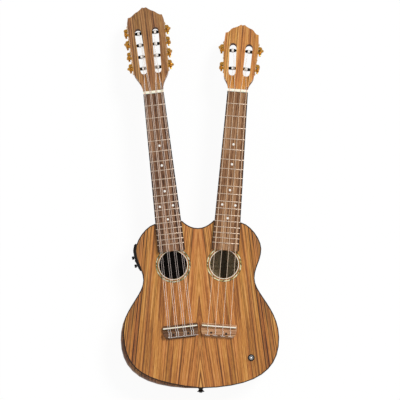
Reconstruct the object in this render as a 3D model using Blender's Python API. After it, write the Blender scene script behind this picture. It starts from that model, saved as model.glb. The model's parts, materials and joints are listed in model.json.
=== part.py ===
"""Double-neck ukulele: an eight-string and a four-string neck on one body.

Lengths are in metres. The origin lies on the outer face of the back, under the
widest place of the lower bout. +Y runs along the body to the heads, +X to the
four-string side and +Z out of the soundboard. Each sub-part is its own object,
and a moving piece has its own origin on the axis that it turns on.
"""
import math

import bmesh
import bpy
import numpy as np
from mathutils import Matrix, Vector

MM = 0.001

# Fits, and how far a cutter reaches past what it cuts
SEAT = 0.3 * MM
RUNNING = 0.35 * MM
OVERRUN = 2.0 * MM
JUST_ABOVE = 0.03 * MM

# Strings and where they run
SCALE_LENGTH = 433.0 * MM
NECK_SPLAY = math.radians(5.5)
SADDLE_X = 35.65 * MM
SADDLE_Y = 21.9 * MM
STRING_RADIUS = 0.38 * MM
FOUR_SPACING_SADDLE = 13.8 * MM
FOUR_SPACING_NUT = 10.5 * MM
PAIR_GAP_SADDLE = 3.6 * MM
PAIR_GAP_NUT = 2.4 * MM
STRING_SIDE_GAP = 0.45 * MM
STRING_BEVEL_STEPS = 1
TAIL_CLEAR = 1.0 * MM
LOOP_BULGE = 1.3 * MM
SADDLE_BEND_DROP = 0.25 * MM
NUT_BREAK_START = 0.3 * MM
NUT_BREAK_END = 1.3 * MM
NUT_BREAK_DROP = 0.08 * MM
WINDING_TURNS = 1.25
WINDING_POINTS = 8
WINDING_PITCH = 1.3 * MM

# Points on each curve of the right half of the outline
LOWER_POINTS = 10
WAIST_POINTS = 10
UPPER_POINTS = 6
SHOULDER_POINTS = 6
SCOOP_POINTS = 5

# Body
BODY_DEPTH = 70.0 * MM
TOP_THICKNESS = 2.5 * MM
BACK_THICKNESS = 2.5 * MM
RIB_WALL = 2.2 * MM
LINING_WIDTH = 5.5 * MM
LINING_HEIGHT = 9.0 * MM
BOTTOM_Y = -90.5 * MM
BOTTOM_HANDLE = 105.0 * MM
LOWER_HALF = 145.0 * MM
LOWER_HANDLE_DOWN = 59.0 * MM
LOWER_HANDLE_UP = 54.0 * MM
WAIST_HALF = 101.8 * MM
WAIST_Y = 109.0 * MM
WAIST_HANDLE_DOWN = 29.0 * MM
WAIST_HANDLE_UP = 19.0 * MM
UPPER_HALF = 115.2 * MM
UPPER_Y = 163.0 * MM
UPPER_HANDLE_DOWN = 20.5 * MM
UPPER_HANDLE_UP = 18.0 * MM
SHOULDER_HANDLE = 17.0 * MM
SHOULDER_ANGLE = math.radians(167)
SCOOP_Y = 202.5 * MM
SCOOP_HANDLE = 12.0 * MM
SCOOP_LEAVE = 7.2 * MM
BLOCK_FACE_Y = 184.0 * MM
TAIL_BLOCK_WIDTH = 50.0 * MM
TAIL_BLOCK_DEPTH = 15.0 * MM

# Braces inside the body
BRACE_WIDTH = 6.0 * MM
BRACE_HEIGHT = 8.0 * MM
BRACE_TOE = 14.0 * MM
BRACE_TOE_SHARE = 0.3
BRACE_END_GAP = 5.0 * MM
BACK_BRACES_Y = (-38.0 * MM, 52.0 * MM, 132.0 * MM)
LOWER_TOP_BRACE_Y = 96.0 * MM
UPPER_TOP_BRACE_Y = 174.0 * MM
FAN_X = 42.0 * MM
FAN_Y = -34.0 * MM
FAN_SPACING = 19.0 * MM
FAN_LENGTH = 56.0 * MM
FAN_LEAN = math.radians(9)
BRIDGE_PLATE_WIDTH = 60.0 * MM
BRIDGE_PLATE_HEIGHT = 2.0 * MM

# Arm bevel on the edge of the lower bout, eight-string side
BEVEL_WIDTH = 7.5 * MM
BEVEL_DROP = 12.0 * MM
BEVEL_START = 12.0 * MM
BEVEL_END = 236.0 * MM
BEVEL_CROWN = 0.9 * MM
BEVEL_FULLNESS = 0.75
BEVEL_LEAST_SHARE = 0.12

# Sound holes
SOUND_HOLE_FROM_NUT = 318.7 * MM
SOUND_HOLE_RADIUS = 25.7 * MM
SOUND_HOLE_SIDES = 26

# Necks and fingerboards
NUT_WIDTH = 37.5 * MM
BOARD_END_WIDTH = 49.8 * MM
BOARD_THICKNESS = 5.5 * MM
FRET_COUNT = 18
BODY_FRET = 14
FRET_WIDTH = 2.0 * MM
FRET_CROWN = 1.0 * MM
FRET_HEIGHT = 0.9 * MM
JOINT_MARGIN = 1.4 * MM
NECK_DEPTH_NUT = 14.5 * MM
NECK_DEPTH_HEEL = 17.0 * MM
NECK_ROUNDNESS = 0.8
NECK_ARC_STEPS = 8
NECK_TIP_LENGTH = 16.0 * MM
NECK_TIP_DROP = 6.0 * MM
NECK_TIP_WIDTH = 0.8
NECK_TIP_DEPTH = 0.55
HEEL_CAP_LENGTH = 24.0 * MM
HEEL_CAP_HALF = 10.0 * MM
HEEL_SQUARE = 0.35

# Heel levels from the cap up. In the first group the height is a share of the body's
# depth and in the second of the neck's, then come how much longer and wider than the
# cap the heel is there.
HEEL_LOW_LEVELS = ((1.0, 0.0 * MM, 0.0 * MM), (0.75, 1.0 * MM, 3.0 * MM), (0.45, 3.0 * MM, 7.0 * MM))
HEEL_HIGH_LEVELS = ((1.35, 7.0 * MM, 10.0 * MM), (1.0, 15.0 * MM, 10.0 * MM),
                    (0.6, 26.0 * MM, 9.0 * MM))

# Nuts, bridges and saddles
NUT_THICKNESS = 5.0 * MM
NUT_SLOT_FLOOR = 7.1 * MM
NUT_SLOT_DEPTH = 1.1 * MM
NUT_SLOT_WIDTH = 1.7 * MM
NUT_FALL = 1.7 * MM
NUT_LAND = 1.2 * MM
NUT_FRONT_DROP = 0.5 * MM
NUT_EXTRA_FALL = 0.2 * MM
SADDLE_LENGTH = 62.4 * MM
SADDLE_THICKNESS = 2.4 * MM
SADDLE_TOP = 9.4 * MM
SADDLE_SLOT_FLOOR = 1.6 * MM
SADDLE_SHOULDER = 0.7 * MM
SADDLE_CREST_SHARE = 0.4
BRIDGE_WIDTH = 66.0 * MM
BRIDGE_TAIL_WIDTH = 56.0 * MM
BRIDGE_FRONT = 5.0 * MM
BRIDGE_BACK = 20.5 * MM
BRIDGE_CORNER = 6.0 * MM
BRIDGE_CORNER_POINTS = 6
BRIDGE_SHELF = 4.5 * MM
BRIDGE_SHELF_END = 2.6 * MM
BRIDGE_FRONT_CHAMFER = 1.5 * MM
BRIDGE_SIDE_CHAMFER = 2.0 * MM
BRIDGE_TROUGH = 3.4 * MM
BRIDGE_TROUGH_START = 4.6 * MM
BRIDGE_APRON = 2.6 * MM
BRIDGE_APRON_CHAMFER = 1.0 * MM
TIE_BLOCK_START = 8.4 * MM
TIE_BLOCK_END = 16.2 * MM
TIE_BLOCK_TOP = 8.4 * MM
TIE_BLOCK_LEAN = 0.4 * MM
TIE_BORE_HEIGHT = 4.7 * MM
TIE_BORE_RADIUS = 0.95 * MM
TIE_BORE_SIDES = 6

# Heads, in lengths along the tilted face from the back of the nut
HEAD_TILT = math.radians(12)
HEAD_THICKNESS = 16.5 * MM
HEAD_FACE_RISE = 4.0 * MM
RAMP_LENGTH = 20.0 * MM
RAMP_DEPTH = 3.6 * MM
RAMP_NEAR_WIDTH = 0.75
RAMP_FAR_WIDTH = 0.9
FLARE_LEAVE = 0.55
FLARE_ARRIVE = (0.97, 0.66)
FLARE_POINTS = 6
SLOT_END_STEPS = 6
CROWN_NOTCH = 1.2 * MM
CROWN_BUMP_HALF = 3.5 * MM
CROWN_POINTS = 4
CORNER_LEAVE = (-7.0 * MM, -0.6 * MM)
STEP_ARRIVE = (5.0 * MM, -2.0 * MM)
STEP_LEAVE = (-4.0 * MM, 1.0 * MM)
BUMP_ARRIVE = (4.0 * MM, -3.5 * MM)

# The eight-string head: half widths, and places along its face from the nut
EIGHT_NECK_END = 18.3 * MM
EIGHT_FLARE = 31.7 * MM
EIGHT_FLARE_AT = 36.3 * MM
EIGHT_TOP = 34.0 * MM
EIGHT_TOP_AT = 129.3 * MM
EIGHT_CORNER = 31.5 * MM
EIGHT_CORNER_AT = 140.0 * MM
EIGHT_STEP = 16.0 * MM
EIGHT_STEP_AT = 148.5 * MM
EIGHT_TIP_AT = 156.9 * MM
EIGHT_SLOT_START = 32.7 * MM
EIGHT_SLOT_END = 118.1 * MM
EIGHT_SLOT_WIDTH = 12.3 * MM
EIGHT_SLOT_LOW = 13.0 * MM
EIGHT_SLOT_HIGH = 16.2 * MM
EIGHT_FIRST_ROLLER = 43.8 * MM
EIGHT_ROLLER_PITCH = 21.9 * MM

# The four-string head: half widths, and places along its face from the nut
FOUR_NECK_END = 18.3 * MM
FOUR_FLARE = 27.4 * MM
FOUR_FLARE_AT = 24.0 * MM
FOUR_TOP = 31.6 * MM
FOUR_TOP_AT = 87.4 * MM
FOUR_CORNER = 30.4 * MM
FOUR_CORNER_AT = 103.8 * MM
FOUR_STEP = 17.5 * MM
FOUR_STEP_AT = 113.5 * MM
FOUR_TIP_AT = 120.6 * MM
FOUR_SLOT_START = 25.0 * MM
FOUR_SLOT_END = 85.4 * MM
FOUR_SLOT_WIDTH = 12.9 * MM
FOUR_SLOT_LOW = 12.9 * MM
FOUR_SLOT_HIGH = 14.9 * MM
FOUR_FIRST_ROLLER = 38.5 * MM
FOUR_ROLLER_PITCH = 33.1 * MM

# Tuners: a worm on the button's shaft turns a gear on the roller's end
BORE_SIDES = 8
ROLLER_DEPTH = 7.0 * MM
ROLLER_RADIUS = 3.0 * MM
ROLLER_SHAFT_RADIUS = 2.4 * MM
ROLLER_PIN_RADIUS = 1.8 * MM
ROLLER_PIN_LENGTH = 2.6 * MM
ROLLER_PIN_END_GAP = 0.9 * MM
ROLLER_SIDES = 8
GEAR_TEETH = 12
GEAR_MODULE = 0.875 * MM
GEAR_THICKNESS = 3.6 * MM
GEAR_BOSS_RADIUS = 2.2 * MM
GEAR_BOSS_HEIGHT = 1.0 * MM
ADDENDUM = 0.65 * MM
DEDENDUM = 0.9 * MM
PRESSURE_ANGLE = math.radians(20)
TOOTH_HALF = 0.54 * MM
THREAD_HALF = 0.5 * MM
WORM_RADIUS = 2.5 * MM
WORM_SIDES = 8
WORM_STEPS = 16
WORM_OUT = 4.8 * MM
WORM_SHOULDER = 0.12 * MM
PLATE_THICKNESS = 1.0 * MM
PLATE_HALF_WIDTH = 6.3 * MM
PLATE_CORNER = 3.8 * MM
PLATE_END = 9.5 * MM
JOURNAL_RADIUS = 1.25 * MM
JOURNAL_BORE_SIDES = 6
JOURNAL_END = 0.4 * MM
EAR_RADIUS = 2.7 * MM
EAR_THICKNESS = 1.8 * MM
EAR_STEPS = 4
BUTTON_SHANK = 4.0 * MM
BUTTON_LENGTH = 13.0 * MM
BUTTON_HALF_WIDTH = 6.5 * MM
BUTTON_HALF_THICKNESS = 3.2 * MM

# Rings of a button from its shank: shares of its half width, half thickness and length
BUTTON_RINGS = ((0.55, 0.8, 0.115), (1.0, 1.0, 0.385), (1.0, 0.9, 0.692), (0.6, 0.6, 1.0))

# Preamp in the side of the upper bout, eight-string side
PREAMP_LOW_Y = 126.0 * MM
PREAMP_HIGH_Y = 175.0 * MM
PREAMP_HEIGHT = 34.0 * MM
PREAMP_PROUD = 3.9 * MM
BEZEL_RIM = 1.2 * MM
BEZEL_SOFT = 0.9 * MM
BEZEL_END_SHARE = 0.55
BEZEL_LEAST_SPAN = 2.2 * MM
SLOPE_STEP = 1.0 * MM
PREAMP_CASE_LENGTH = 40.0 * MM
PREAMP_CASE_HEIGHT = 27.0 * MM
PREAMP_CASE_DEPTH = 20.0 * MM
PREAMP_CASE_SINK = 1.3 * MM
KNOB_Y = 150.8 * MM
KNOB_SPACING = 14.7 * MM
KNOB_TILT = math.radians(11)
KNOB_RADIUS = 2.85 * MM
KNOB_HEIGHT = 3.9 * MM
KNOB_CHAMFER = 0.6 * MM
KNOB_SIDES = 12
KNOB_SHAFT_RADIUS = 1.2 * MM
KNOB_BORE_DEPTH = 5.0 * MM
KNOB_BORE_SIDES = 10

# Neck selector on the soundboard, and the strap button at the tail
SWITCH_X = 93.2 * MM
SWITCH_Y = -36.1 * MM
SWITCH_COLLAR_RADIUS = 6.2 * MM
SWITCH_COLLAR_HEIGHT = 1.2 * MM
SWITCH_COLLAR_CHAMFER = 0.5 * MM
SWITCH_BUSH_RADIUS = 3.4 * MM
SWITCH_BUSH_HEIGHT = 2.6 * MM
SWITCH_BUSH_STEP = 0.25 * MM
SWITCH_SIDES = 20
SWITCH_HOLE_SIDES = 12
SWITCH_BORE_RADIUS = 2.35 * MM
SWITCH_BORE_DEPTH = 6.0 * MM
SWITCH_BORE_SIDES = 16
SWITCH_BASE_HALF_WIDTH = 6.0 * MM
SWITCH_BASE_HALF_LENGTH = 4.8 * MM
SWITCH_BASE_DEPTH = 14.0 * MM
LEVER_PIVOT_DEPTH = 3.0 * MM
LEVER_BALL_RADIUS = 1.6 * MM
LEVER_NECK_RADIUS = 0.8 * MM
LEVER_HEIGHT = 12.0 * MM
LEVER_TIP_RADIUS = 1.9 * MM
LEVER_TIP_LENGTH = 2.5 * MM
LEVER_TAPER = 2.5 * MM
LEVER_CHAMFER = 0.8 * MM
LEVER_SIDES = 10
STRAP_FLARE_RADIUS = 6.85 * MM
STRAP_NECK_RADIUS = 3.85 * MM
STRAP_BASE_RADIUS = 5.05 * MM
STRAP_NECK_START = 2.0 * MM
STRAP_NECK_END = 3.8 * MM
STRAP_LENGTH = 7.0 * MM
STRAP_RIM_LOW = 1.8 * MM
STRAP_RIM_HIGH = 1.0 * MM
STRAP_RIM_SOFT = 0.6 * MM
STRAP_CROWN = 1.5 * MM
STRAP_SIDES = 14
STRAP_SCREW_HEAD_RADIUS = 3.0 * MM
STRAP_SCREW_HEAD_HEIGHT = 1.4 * MM
STRAP_SCREW_HEAD_SOFT = 0.4 * MM
STRAP_SCREW_RADIUS = 1.6 * MM
STRAP_SCREW_LENGTH = 13.0 * MM

# Levels between the stacked pieces
TOP_UNDERSIDE = BODY_DEPTH - TOP_THICKNESS
RIB_LOW = BACK_THICKNESS + SEAT
RIB_HIGH = TOP_UNDERSIDE - SEAT
GEAR_RADIUS = GEAR_TEETH * GEAR_MODULE / 2
CENTRE_DISTANCE = GEAR_RADIUS + WORM_RADIUS
AXIAL_PITCH = math.pi * GEAR_MODULE


class Head:
    """Sizes that differ between the two heads: half widths, and places along the face."""

    def __init__(self, side, strings, first_roller, roller_pitch, **sizes):
        self.side = side
        self.strings = strings
        self.rollers = [first_roller + roller_pitch * k for k in range(strings // 2)]
        for name, size in sizes.items():
            setattr(self, name, size)

    def slot_centre(self, along):
        """Half spacing of the two slots at a length along the head."""
        share = (along - self.slot_start) / (self.slot_end - self.slot_start)
        return self.slot_low + share * (self.slot_high - self.slot_low)

    def side_at(self, along):
        """Half width of the straight side at a length along the head."""
        share = (along - self.flare_at) / (self.top_at - self.flare_at)
        return self.flare + share * (self.top - self.flare)

    def rail(self):
        """Wood between the side and the slot, at its thickest roller."""
        return max(self.side_at(a) - self.slot_centre(a) - self.slot_width / 2 for a in self.rollers)

    def barrel_end(self):
        """Depth of the slot's inner wall from the side, at its nearest roller."""
        return min(self.side_at(a) - self.slot_centre(a) + self.slot_width / 2 for a in self.rollers)


HEADS = {
    8: Head(side=-1, strings=8, neck_end=EIGHT_NECK_END, flare=EIGHT_FLARE, flare_at=EIGHT_FLARE_AT,
            top=EIGHT_TOP, top_at=EIGHT_TOP_AT, corner=EIGHT_CORNER, corner_at=EIGHT_CORNER_AT,
            step=EIGHT_STEP, step_at=EIGHT_STEP_AT, tip_at=EIGHT_TIP_AT,
            slot_start=EIGHT_SLOT_START, slot_end=EIGHT_SLOT_END, slot_width=EIGHT_SLOT_WIDTH,
            slot_low=EIGHT_SLOT_LOW, slot_high=EIGHT_SLOT_HIGH,
            first_roller=EIGHT_FIRST_ROLLER, roller_pitch=EIGHT_ROLLER_PITCH),
    4: Head(side=1, strings=4, neck_end=FOUR_NECK_END, flare=FOUR_FLARE, flare_at=FOUR_FLARE_AT,
            top=FOUR_TOP, top_at=FOUR_TOP_AT, corner=FOUR_CORNER, corner_at=FOUR_CORNER_AT,
            step=FOUR_STEP, step_at=FOUR_STEP_AT, tip_at=FOUR_TIP_AT,
            slot_start=FOUR_SLOT_START, slot_end=FOUR_SLOT_END, slot_width=FOUR_SLOT_WIDTH,
            slot_low=FOUR_SLOT_LOW, slot_high=FOUR_SLOT_HIGH,
            first_roller=FOUR_FIRST_ROLLER, roller_pitch=FOUR_ROLLER_PITCH),
}

# How far each button stands turned at rest, in degrees
BUTTON_TURNS = (12, 55, -30, 80, 25, -60, 40, -15, 65, -40, 20, 75)


# Shared tools

def clear_scene():
    """Remove whatever the scene holds."""
    for old in list(bpy.data.objects):
        bpy.data.objects.remove(old)


def material(name, colour, roughness, metallic=0.0):
    """A Principled material in a linear colour."""
    finish = bpy.data.materials.new(name)
    finish.use_nodes = True
    shader = finish.node_tree.nodes["Principled BSDF"]
    shader.inputs["Base Color"].default_value = (*colour, 1.0)
    shader.inputs["Roughness"].default_value = roughness
    shader.inputs["Metallic"].default_value = metallic
    finish.diffuse_color = (*colour, 1.0)
    return finish


def add_object(name, verts, faces, finish, place=None):
    """One mesh object with its faces pointing out."""
    mesh = bpy.data.meshes.new(name)
    bm = bmesh.new()
    made = [bm.verts.new(v) for v in verts]
    for face in faces:
        bm.faces.new([made[i] for i in face])
    bmesh.ops.recalc_face_normals(bm, faces=bm.faces)
    bm.to_mesh(mesh)
    bm.free()
    return add_mesh(name, mesh, finish, place)


def add_mesh(name, mesh, finish, place=None):
    """An object for a mesh that may be shared."""
    if not mesh.materials:
        mesh.materials.append(finish)
    mesh.shade_smooth()
    mesh.set_sharp_from_angle(angle=math.radians(35))
    made = bpy.data.objects.new(name, mesh)
    bpy.context.scene.collection.objects.link(made)
    if place is not None:
        made.matrix_world = place
    return made


def hide_guide(guide):
    """Mark an object as a cutter that isn't part of the model."""
    guide.hide_render = True
    guide.display_type = 'WIRE'
    return guide


def combine(target, tool, operation):
    """Join a solid to the target or cut it away."""
    step = target.modifiers.new(operation.lower(), 'BOOLEAN')
    step.operation = operation
    step.solver = 'EXACT'
    step.object = hide_guide(tool)
    return target


def loft(rings, wrap=False):
    """Verts and faces of a skin over equal rings, closed by end faces or wrapped."""
    count = len(rings[0])
    verts = [tuple(p) for ring in rings for p in ring]
    faces = []
    spans = len(rings) if wrap else len(rings) - 1
    for r in range(spans):
        low = r * count
        high = ((r + 1) % len(rings)) * count
        for k in range(count):
            n = (k + 1) % count
            faces.append((low + k, low + n, high + n, high + k))
    if not wrap:
        faces.append(tuple(reversed(range(count))))
        faces.append(tuple(range((len(rings) - 1) * count, len(rings) * count)))
    return verts, faces


def merge_solids(solids):
    """Verts and faces of several solids in one list."""
    verts, faces = [], []
    for more_verts, more_faces in solids:
        base = len(verts)
        verts += more_verts
        faces += [tuple(i + base for i in face) for face in more_faces]
    return verts, faces


def moved(solid, place):
    """Verts and faces of a solid after a move."""
    verts, faces = solid
    return [tuple(place @ Vector(v)) for v in verts], faces


def box(low, high):
    """Verts and faces of a box between two corners."""
    x0, y0, z0 = low
    x1, y1, z1 = high
    rings = [[(x0, y0, z), (x1, y0, z), (x1, y1, z), (x0, y1, z)] for z in (z0, z1)]
    return loft(rings)


def turned(profile, sides, phase=0.0):
    """Verts and faces of a solid turned about Z from (radius, height) pairs."""
    rings = []
    for radius, height in profile:
        angles = [phase + 2 * math.pi * k / sides for k in range(sides)]
        rings.append([(radius * math.cos(a), radius * math.sin(a), height) for a in angles])
    return loft(rings)


def bore_radius(radius, sides, gap=RUNNING):
    """Corner radius of a bore whose flats clear a round piece."""
    return (radius + gap) / math.cos(math.pi / sides)


def prism(loops, z_low, z_high):
    """Mesh of a flat outline, with holes, raised from z_low to z_high."""
    bm = bmesh.new()
    edges = []
    for loop in loops:
        ring = [bm.verts.new((x, y, z_low)) for x, y in loop]
        edges += [bm.edges.new((ring[k - 1], ring[k])) for k in range(len(ring))]
    filled = bmesh.ops.triangle_fill(bm, edges=edges, use_beauty=True)
    faces = [g for g in filled["geom"] if isinstance(g, bmesh.types.BMFace)]
    raised = bmesh.ops.extrude_face_region(bm, geom=faces)
    top = [g for g in raised["geom"] if isinstance(g, bmesh.types.BMVert)]
    bmesh.ops.translate(bm, verts=top, vec=(0, 0, z_high - z_low))
    bmesh.ops.recalc_face_normals(bm, faces=bm.faces)
    mesh = bpy.data.meshes.new("prism")
    bm.to_mesh(mesh)
    bm.free()
    return mesh


def circle(x, y, radius, count):
    """Points of a circle, counterclockwise."""
    angles = [2 * math.pi * k / count for k in range(count)]
    return [(x + radius * math.cos(a), y + radius * math.sin(a)) for a in angles]


def curve_points(start, leave, arrive, end, count):
    """Points of a cubic curve after its start."""
    u = np.linspace(0, 1, count + 1)[1:, None]
    start, leave, arrive, end = (np.array(p, float) for p in (start, leave, arrive, end))
    return list((1 - u) ** 3 * start + 3 * (1 - u) ** 2 * u * leave
                + 3 * (1 - u) * u ** 2 * arrive + u ** 3 * end)


# Places

def neck_frame(side):
    """Under the nut on the soundboard plane, with +Y along the neck to the head."""
    saddle = Matrix.Translation((side * SADDLE_X, SADDLE_Y, BODY_DEPTH))
    turn = Matrix.Rotation(-side * NECK_SPLAY, 4, 'Z')
    return saddle @ turn @ Matrix.Translation((0, SCALE_LENGTH, 0))


def head_frame(side):
    """On the head's face behind the nut, with +Y up the face and +Z out of it."""
    behind_nut = Matrix.Translation((0, NUT_THICKNESS / 2 + SEAT, HEAD_FACE_RISE))
    return neck_frame(side) @ behind_nut @ Matrix.Rotation(-HEAD_TILT, 4, 'X')


def side_frame(head, hand, along):
    """On a head's side at one roller: X out of the side, Z with the face's normal."""
    lean = math.atan((head.top - head.flare) / (head.top_at - head.flare_at))
    point = Matrix.Translation((hand * head.side_at(along), along, -ROLLER_DEPTH))
    turn = -lean if hand > 0 else math.pi + lean
    return head_frame(head.side) @ point @ Matrix.Rotation(turn, 4, 'Z')


def fret_distance(number):
    """Distance of a fret from the nut."""
    return SCALE_LENGTH * (1 - 2 ** (-number / 12))


def board_half_width(from_nut):
    """Half width of a fingerboard."""
    share = from_nut / SOUND_HOLE_START
    return (NUT_WIDTH + share * (BOARD_END_WIDTH - NUT_WIDTH)) / 2


SOUND_HOLE_START = SOUND_HOLE_FROM_NUT - SOUND_HOLE_RADIUS
JOINT_FROM_NUT = fret_distance(BODY_FRET)
JOINT_HALF = board_half_width(JOINT_FROM_NUT) + JOINT_MARGIN


def joint_corner(across):
    """A corner of the body where the right neck meets it."""
    point = neck_frame(1) @ Vector((across, -JOINT_FROM_NUT, 0))
    return np.array((point.x, point.y))


# Body outline

def right_outline():
    """Outline of the right half from the tail to the scoop between the necks."""
    shoulder = joint_corner(JOINT_HALF)
    tip = joint_corner(-JOINT_HALF)
    heading = np.array((math.cos(SHOULDER_ANGLE), math.sin(SHOULDER_ANGLE)))
    arrive = shoulder - SHOULDER_HANDLE * heading
    points = [np.array((0.0, BOTTOM_Y))]
    points += curve_points((0, BOTTOM_Y), (BOTTOM_HANDLE, BOTTOM_Y),
                           (LOWER_HALF, -LOWER_HANDLE_DOWN), (LOWER_HALF, 0), LOWER_POINTS)
    points += curve_points((LOWER_HALF, 0), (LOWER_HALF, LOWER_HANDLE_UP),
                           (WAIST_HALF, WAIST_Y - WAIST_HANDLE_DOWN), (WAIST_HALF, WAIST_Y),
                           WAIST_POINTS)
    points += curve_points((WAIST_HALF, WAIST_Y), (WAIST_HALF, WAIST_Y + WAIST_HANDLE_UP),
                           (UPPER_HALF, UPPER_Y - UPPER_HANDLE_DOWN), (UPPER_HALF, UPPER_Y),
                           UPPER_POINTS)
    points += curve_points((UPPER_HALF, UPPER_Y), (UPPER_HALF, UPPER_Y + UPPER_HANDLE_UP),
                           arrive, shoulder, SHOULDER_POINTS)
    points.append(tip)
    points += curve_points(tip, tip - np.array((SCOOP_LEAVE, SCOOP_LEAVE)),
                           (SCOOP_HANDLE, SCOOP_Y), (0, SCOOP_Y), SCOOP_POINTS)
    return points


def outline():
    """The whole outline, counterclockwise from the tail."""
    right = right_outline()
    left = [np.array((-p[0], p[1])) for p in reversed(right[1:-1])]
    return np.array(right + left)


def inward_normals(points):
    """Unit normals that point into a counterclockwise outline."""
    along = np.roll(points, -1, axis=0) - np.roll(points, 1, axis=0)
    along /= np.linalg.norm(along, axis=1)[:, None]
    return np.stack((-along[:, 1], along[:, 0]), axis=1)


def bevel_shares(points):
    """How much of the arm bevel's full size each outline point has."""
    steps = np.linalg.norm(points - np.roll(points, -1, axis=0), axis=1)
    shares = np.zeros(len(points))
    travelled = 0.0
    for back in range(1, len(points) // 2):
        travelled += steps[-back]
        place = (travelled - BEVEL_START) / (BEVEL_END - BEVEL_START)
        if 0 < place < 1:
            shares[-back] = math.sin(math.pi * place) ** BEVEL_FULLNESS
    shares[shares < BEVEL_LEAST_SHARE] = 0.0
    return shares


def half_width_at(y):
    """Half width of the body at a height between the lower bout and the shoulders."""
    bottom_points = LOWER_POINTS // 2
    sides = right_outline()[bottom_points:LOWER_POINTS + WAIST_POINTS + UPPER_POINTS + SHOULDER_POINTS]
    xs, ys = zip(*sides)
    return float(np.interp(y, ys, xs))


def brace(centre, length, angle, z_low, z_high):
    """A brace with its ends cut down, lying at an angle in plan."""
    half = BRACE_WIDTH / 2
    end = length / 2
    toe = min(length / 4, BRACE_TOE)
    toe_z = z_low + (z_high - z_low) * BRACE_TOE_SHARE
    side = [(-end, z_low), (-end, toe_z), (-end + toe, z_high),
            (end - toe, z_high), (end, toe_z), (end, z_low)]
    rings = [[(x, y, z) for x, z in side] for y in (-half, half)]
    place = Matrix.Translation((*centre, 0)) @ Matrix.Rotation(angle, 4, 'Z')
    return moved(loft(rings), place)


def cross_brace(y, z_low, z_high):
    """A brace across the body that stops short of the linings."""
    narrowest = min(half_width_at(y - BRACE_WIDTH / 2), half_width_at(y + BRACE_WIDTH / 2))
    end = narrowest - RIB_WALL - LINING_WIDTH - BRACE_END_GAP
    return brace((0, y), 2 * end, 0, z_low, z_high)


# Body pieces

def make_back(finish):
    """The back and its three cross braces."""
    sheet = add_mesh("back_plate", prism([outline()], 0, BACK_THICKNESS), finish)
    sink = BACK_THICKNESS - SEAT
    braces = [cross_brace(y, sink, BACK_THICKNESS + BRACE_HEIGHT) for y in BACK_BRACES_Y]
    tool = add_object("back_braces", *merge_solids(braces), finish)
    return combine(sheet, tool, 'UNION')


def make_ribs(finish):
    """The side wall with its linings, the neck block and the tail block."""
    points = outline()
    normals = inward_normals(points)
    shares = bevel_shares(points)
    half = len(right_outline())
    first_block = half - SCOOP_POINTS - 2
    rings = []
    for k, (point, normal, share) in enumerate(zip(points, normals, shares)):
        wall = point + normal * RIB_WALL
        lining = point + normal * (RIB_WALL + LINING_WIDTH)
        mirrored = (len(points) - k) % len(points)
        if first_block <= k < half or first_block <= mirrored < half:
            wall = lining = np.array((point[0], BLOCK_FACE_Y))
        top = min(RIB_HIGH, BODY_DEPTH - share * BEVEL_DROP - SEAT)
        section = [(point, RIB_LOW), (point, top), (lining, top), (lining, top - LINING_HEIGHT),
                   (wall, top - LINING_HEIGHT - LINING_WIDTH),
                   (wall, RIB_LOW + LINING_HEIGHT + LINING_WIDTH),
                   (lining, RIB_LOW + LINING_HEIGHT), (lining, RIB_LOW)]
        rings.append([(p[0], p[1], z) for p, z in section])
    ribs = add_object("ribs", *loft(rings, wrap=True), finish)
    inner = BOTTOM_Y + TAIL_BLOCK_DEPTH
    block = box((-TAIL_BLOCK_WIDTH / 2, BOTTOM_Y + RIB_WALL / 2, RIB_LOW + SEAT),
                (TAIL_BLOCK_WIDTH / 2, inner, RIB_HIGH - SEAT))
    combine(ribs, add_object("tail_block", *block, finish), 'UNION')
    half_length = PREAMP_CASE_LENGTH / 2 + SEAT
    half_height = PREAMP_CASE_HEIGHT / 2 + SEAT
    opening = box((-PREAMP_CASE_DEPTH / 2, -half_length, -half_height),
                  (PREAMP_CASE_DEPTH / 2, half_length, half_height))
    bore = bore_radius(STRAP_SCREW_RADIUS, BORE_SIDES, SEAT)
    hole = turned([(bore, -OVERRUN), (bore, STRAP_SCREW_LENGTH + SEAT)], BORE_SIDES)
    cuts = merge_solids([moved(opening, preamp_frame()), moved(hole, strap_frame(inwards=True))])
    return combine(ribs, add_object("rib_cuts", *cuts, finish), 'DIFFERENCE')


def make_soundboard(finish):
    """The soundboard with its holes, braces and bridge plates."""
    points = outline()
    shares = bevel_shares(points)
    inset = np.where(shares > 0, shares * BEVEL_WIDTH + SEAT, 0.0)
    edge = points + inward_normals(points) * inset[:, None]
    holes = []
    for side in (-1, 1):
        centre = neck_frame(side) @ Vector((0, -SOUND_HOLE_FROM_NUT, 0))
        holes.append(circle(centre.x, centre.y, SOUND_HOLE_RADIUS, SOUND_HOLE_SIDES))
    bush_hole = bore_radius(SWITCH_BUSH_RADIUS, SWITCH_HOLE_SIDES, SEAT)
    holes.append(circle(SWITCH_X, SWITCH_Y, bush_hole, SWITCH_HOLE_SIDES))
    sheet = add_mesh("soundboard", prism([edge] + holes, TOP_UNDERSIDE, BODY_DEPTH), finish)
    low = TOP_UNDERSIDE + SEAT
    under = TOP_UNDERSIDE - BRACE_HEIGHT
    pieces = [cross_brace(y, low, under) for y in (LOWER_TOP_BRACE_Y, UPPER_TOP_BRACE_Y)]
    for side in (-1, 1):
        half = BRIDGE_PLATE_WIDTH / 2
        plate = box((-half, -SCALE_LENGTH - BRIDGE_BACK, TOP_UNDERSIDE - BRIDGE_PLATE_HEIGHT),
                    (half, -SCALE_LENGTH + BRIDGE_FRONT, low))
        drop = Matrix.Translation((0, 0, -BODY_DEPTH))
        pieces.append(moved(plate, neck_frame(side) @ drop))
        for spread in (-1, 0, 1):
            centre = (side * FAN_X + spread * FAN_SPACING, FAN_Y)
            pieces.append(brace(centre, FAN_LENGTH, math.pi / 2 + spread * FAN_LEAN, low, under))
    tool = add_object("top_braces", *merge_solids(pieces), finish)
    return combine(sheet, tool, 'UNION')


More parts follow.
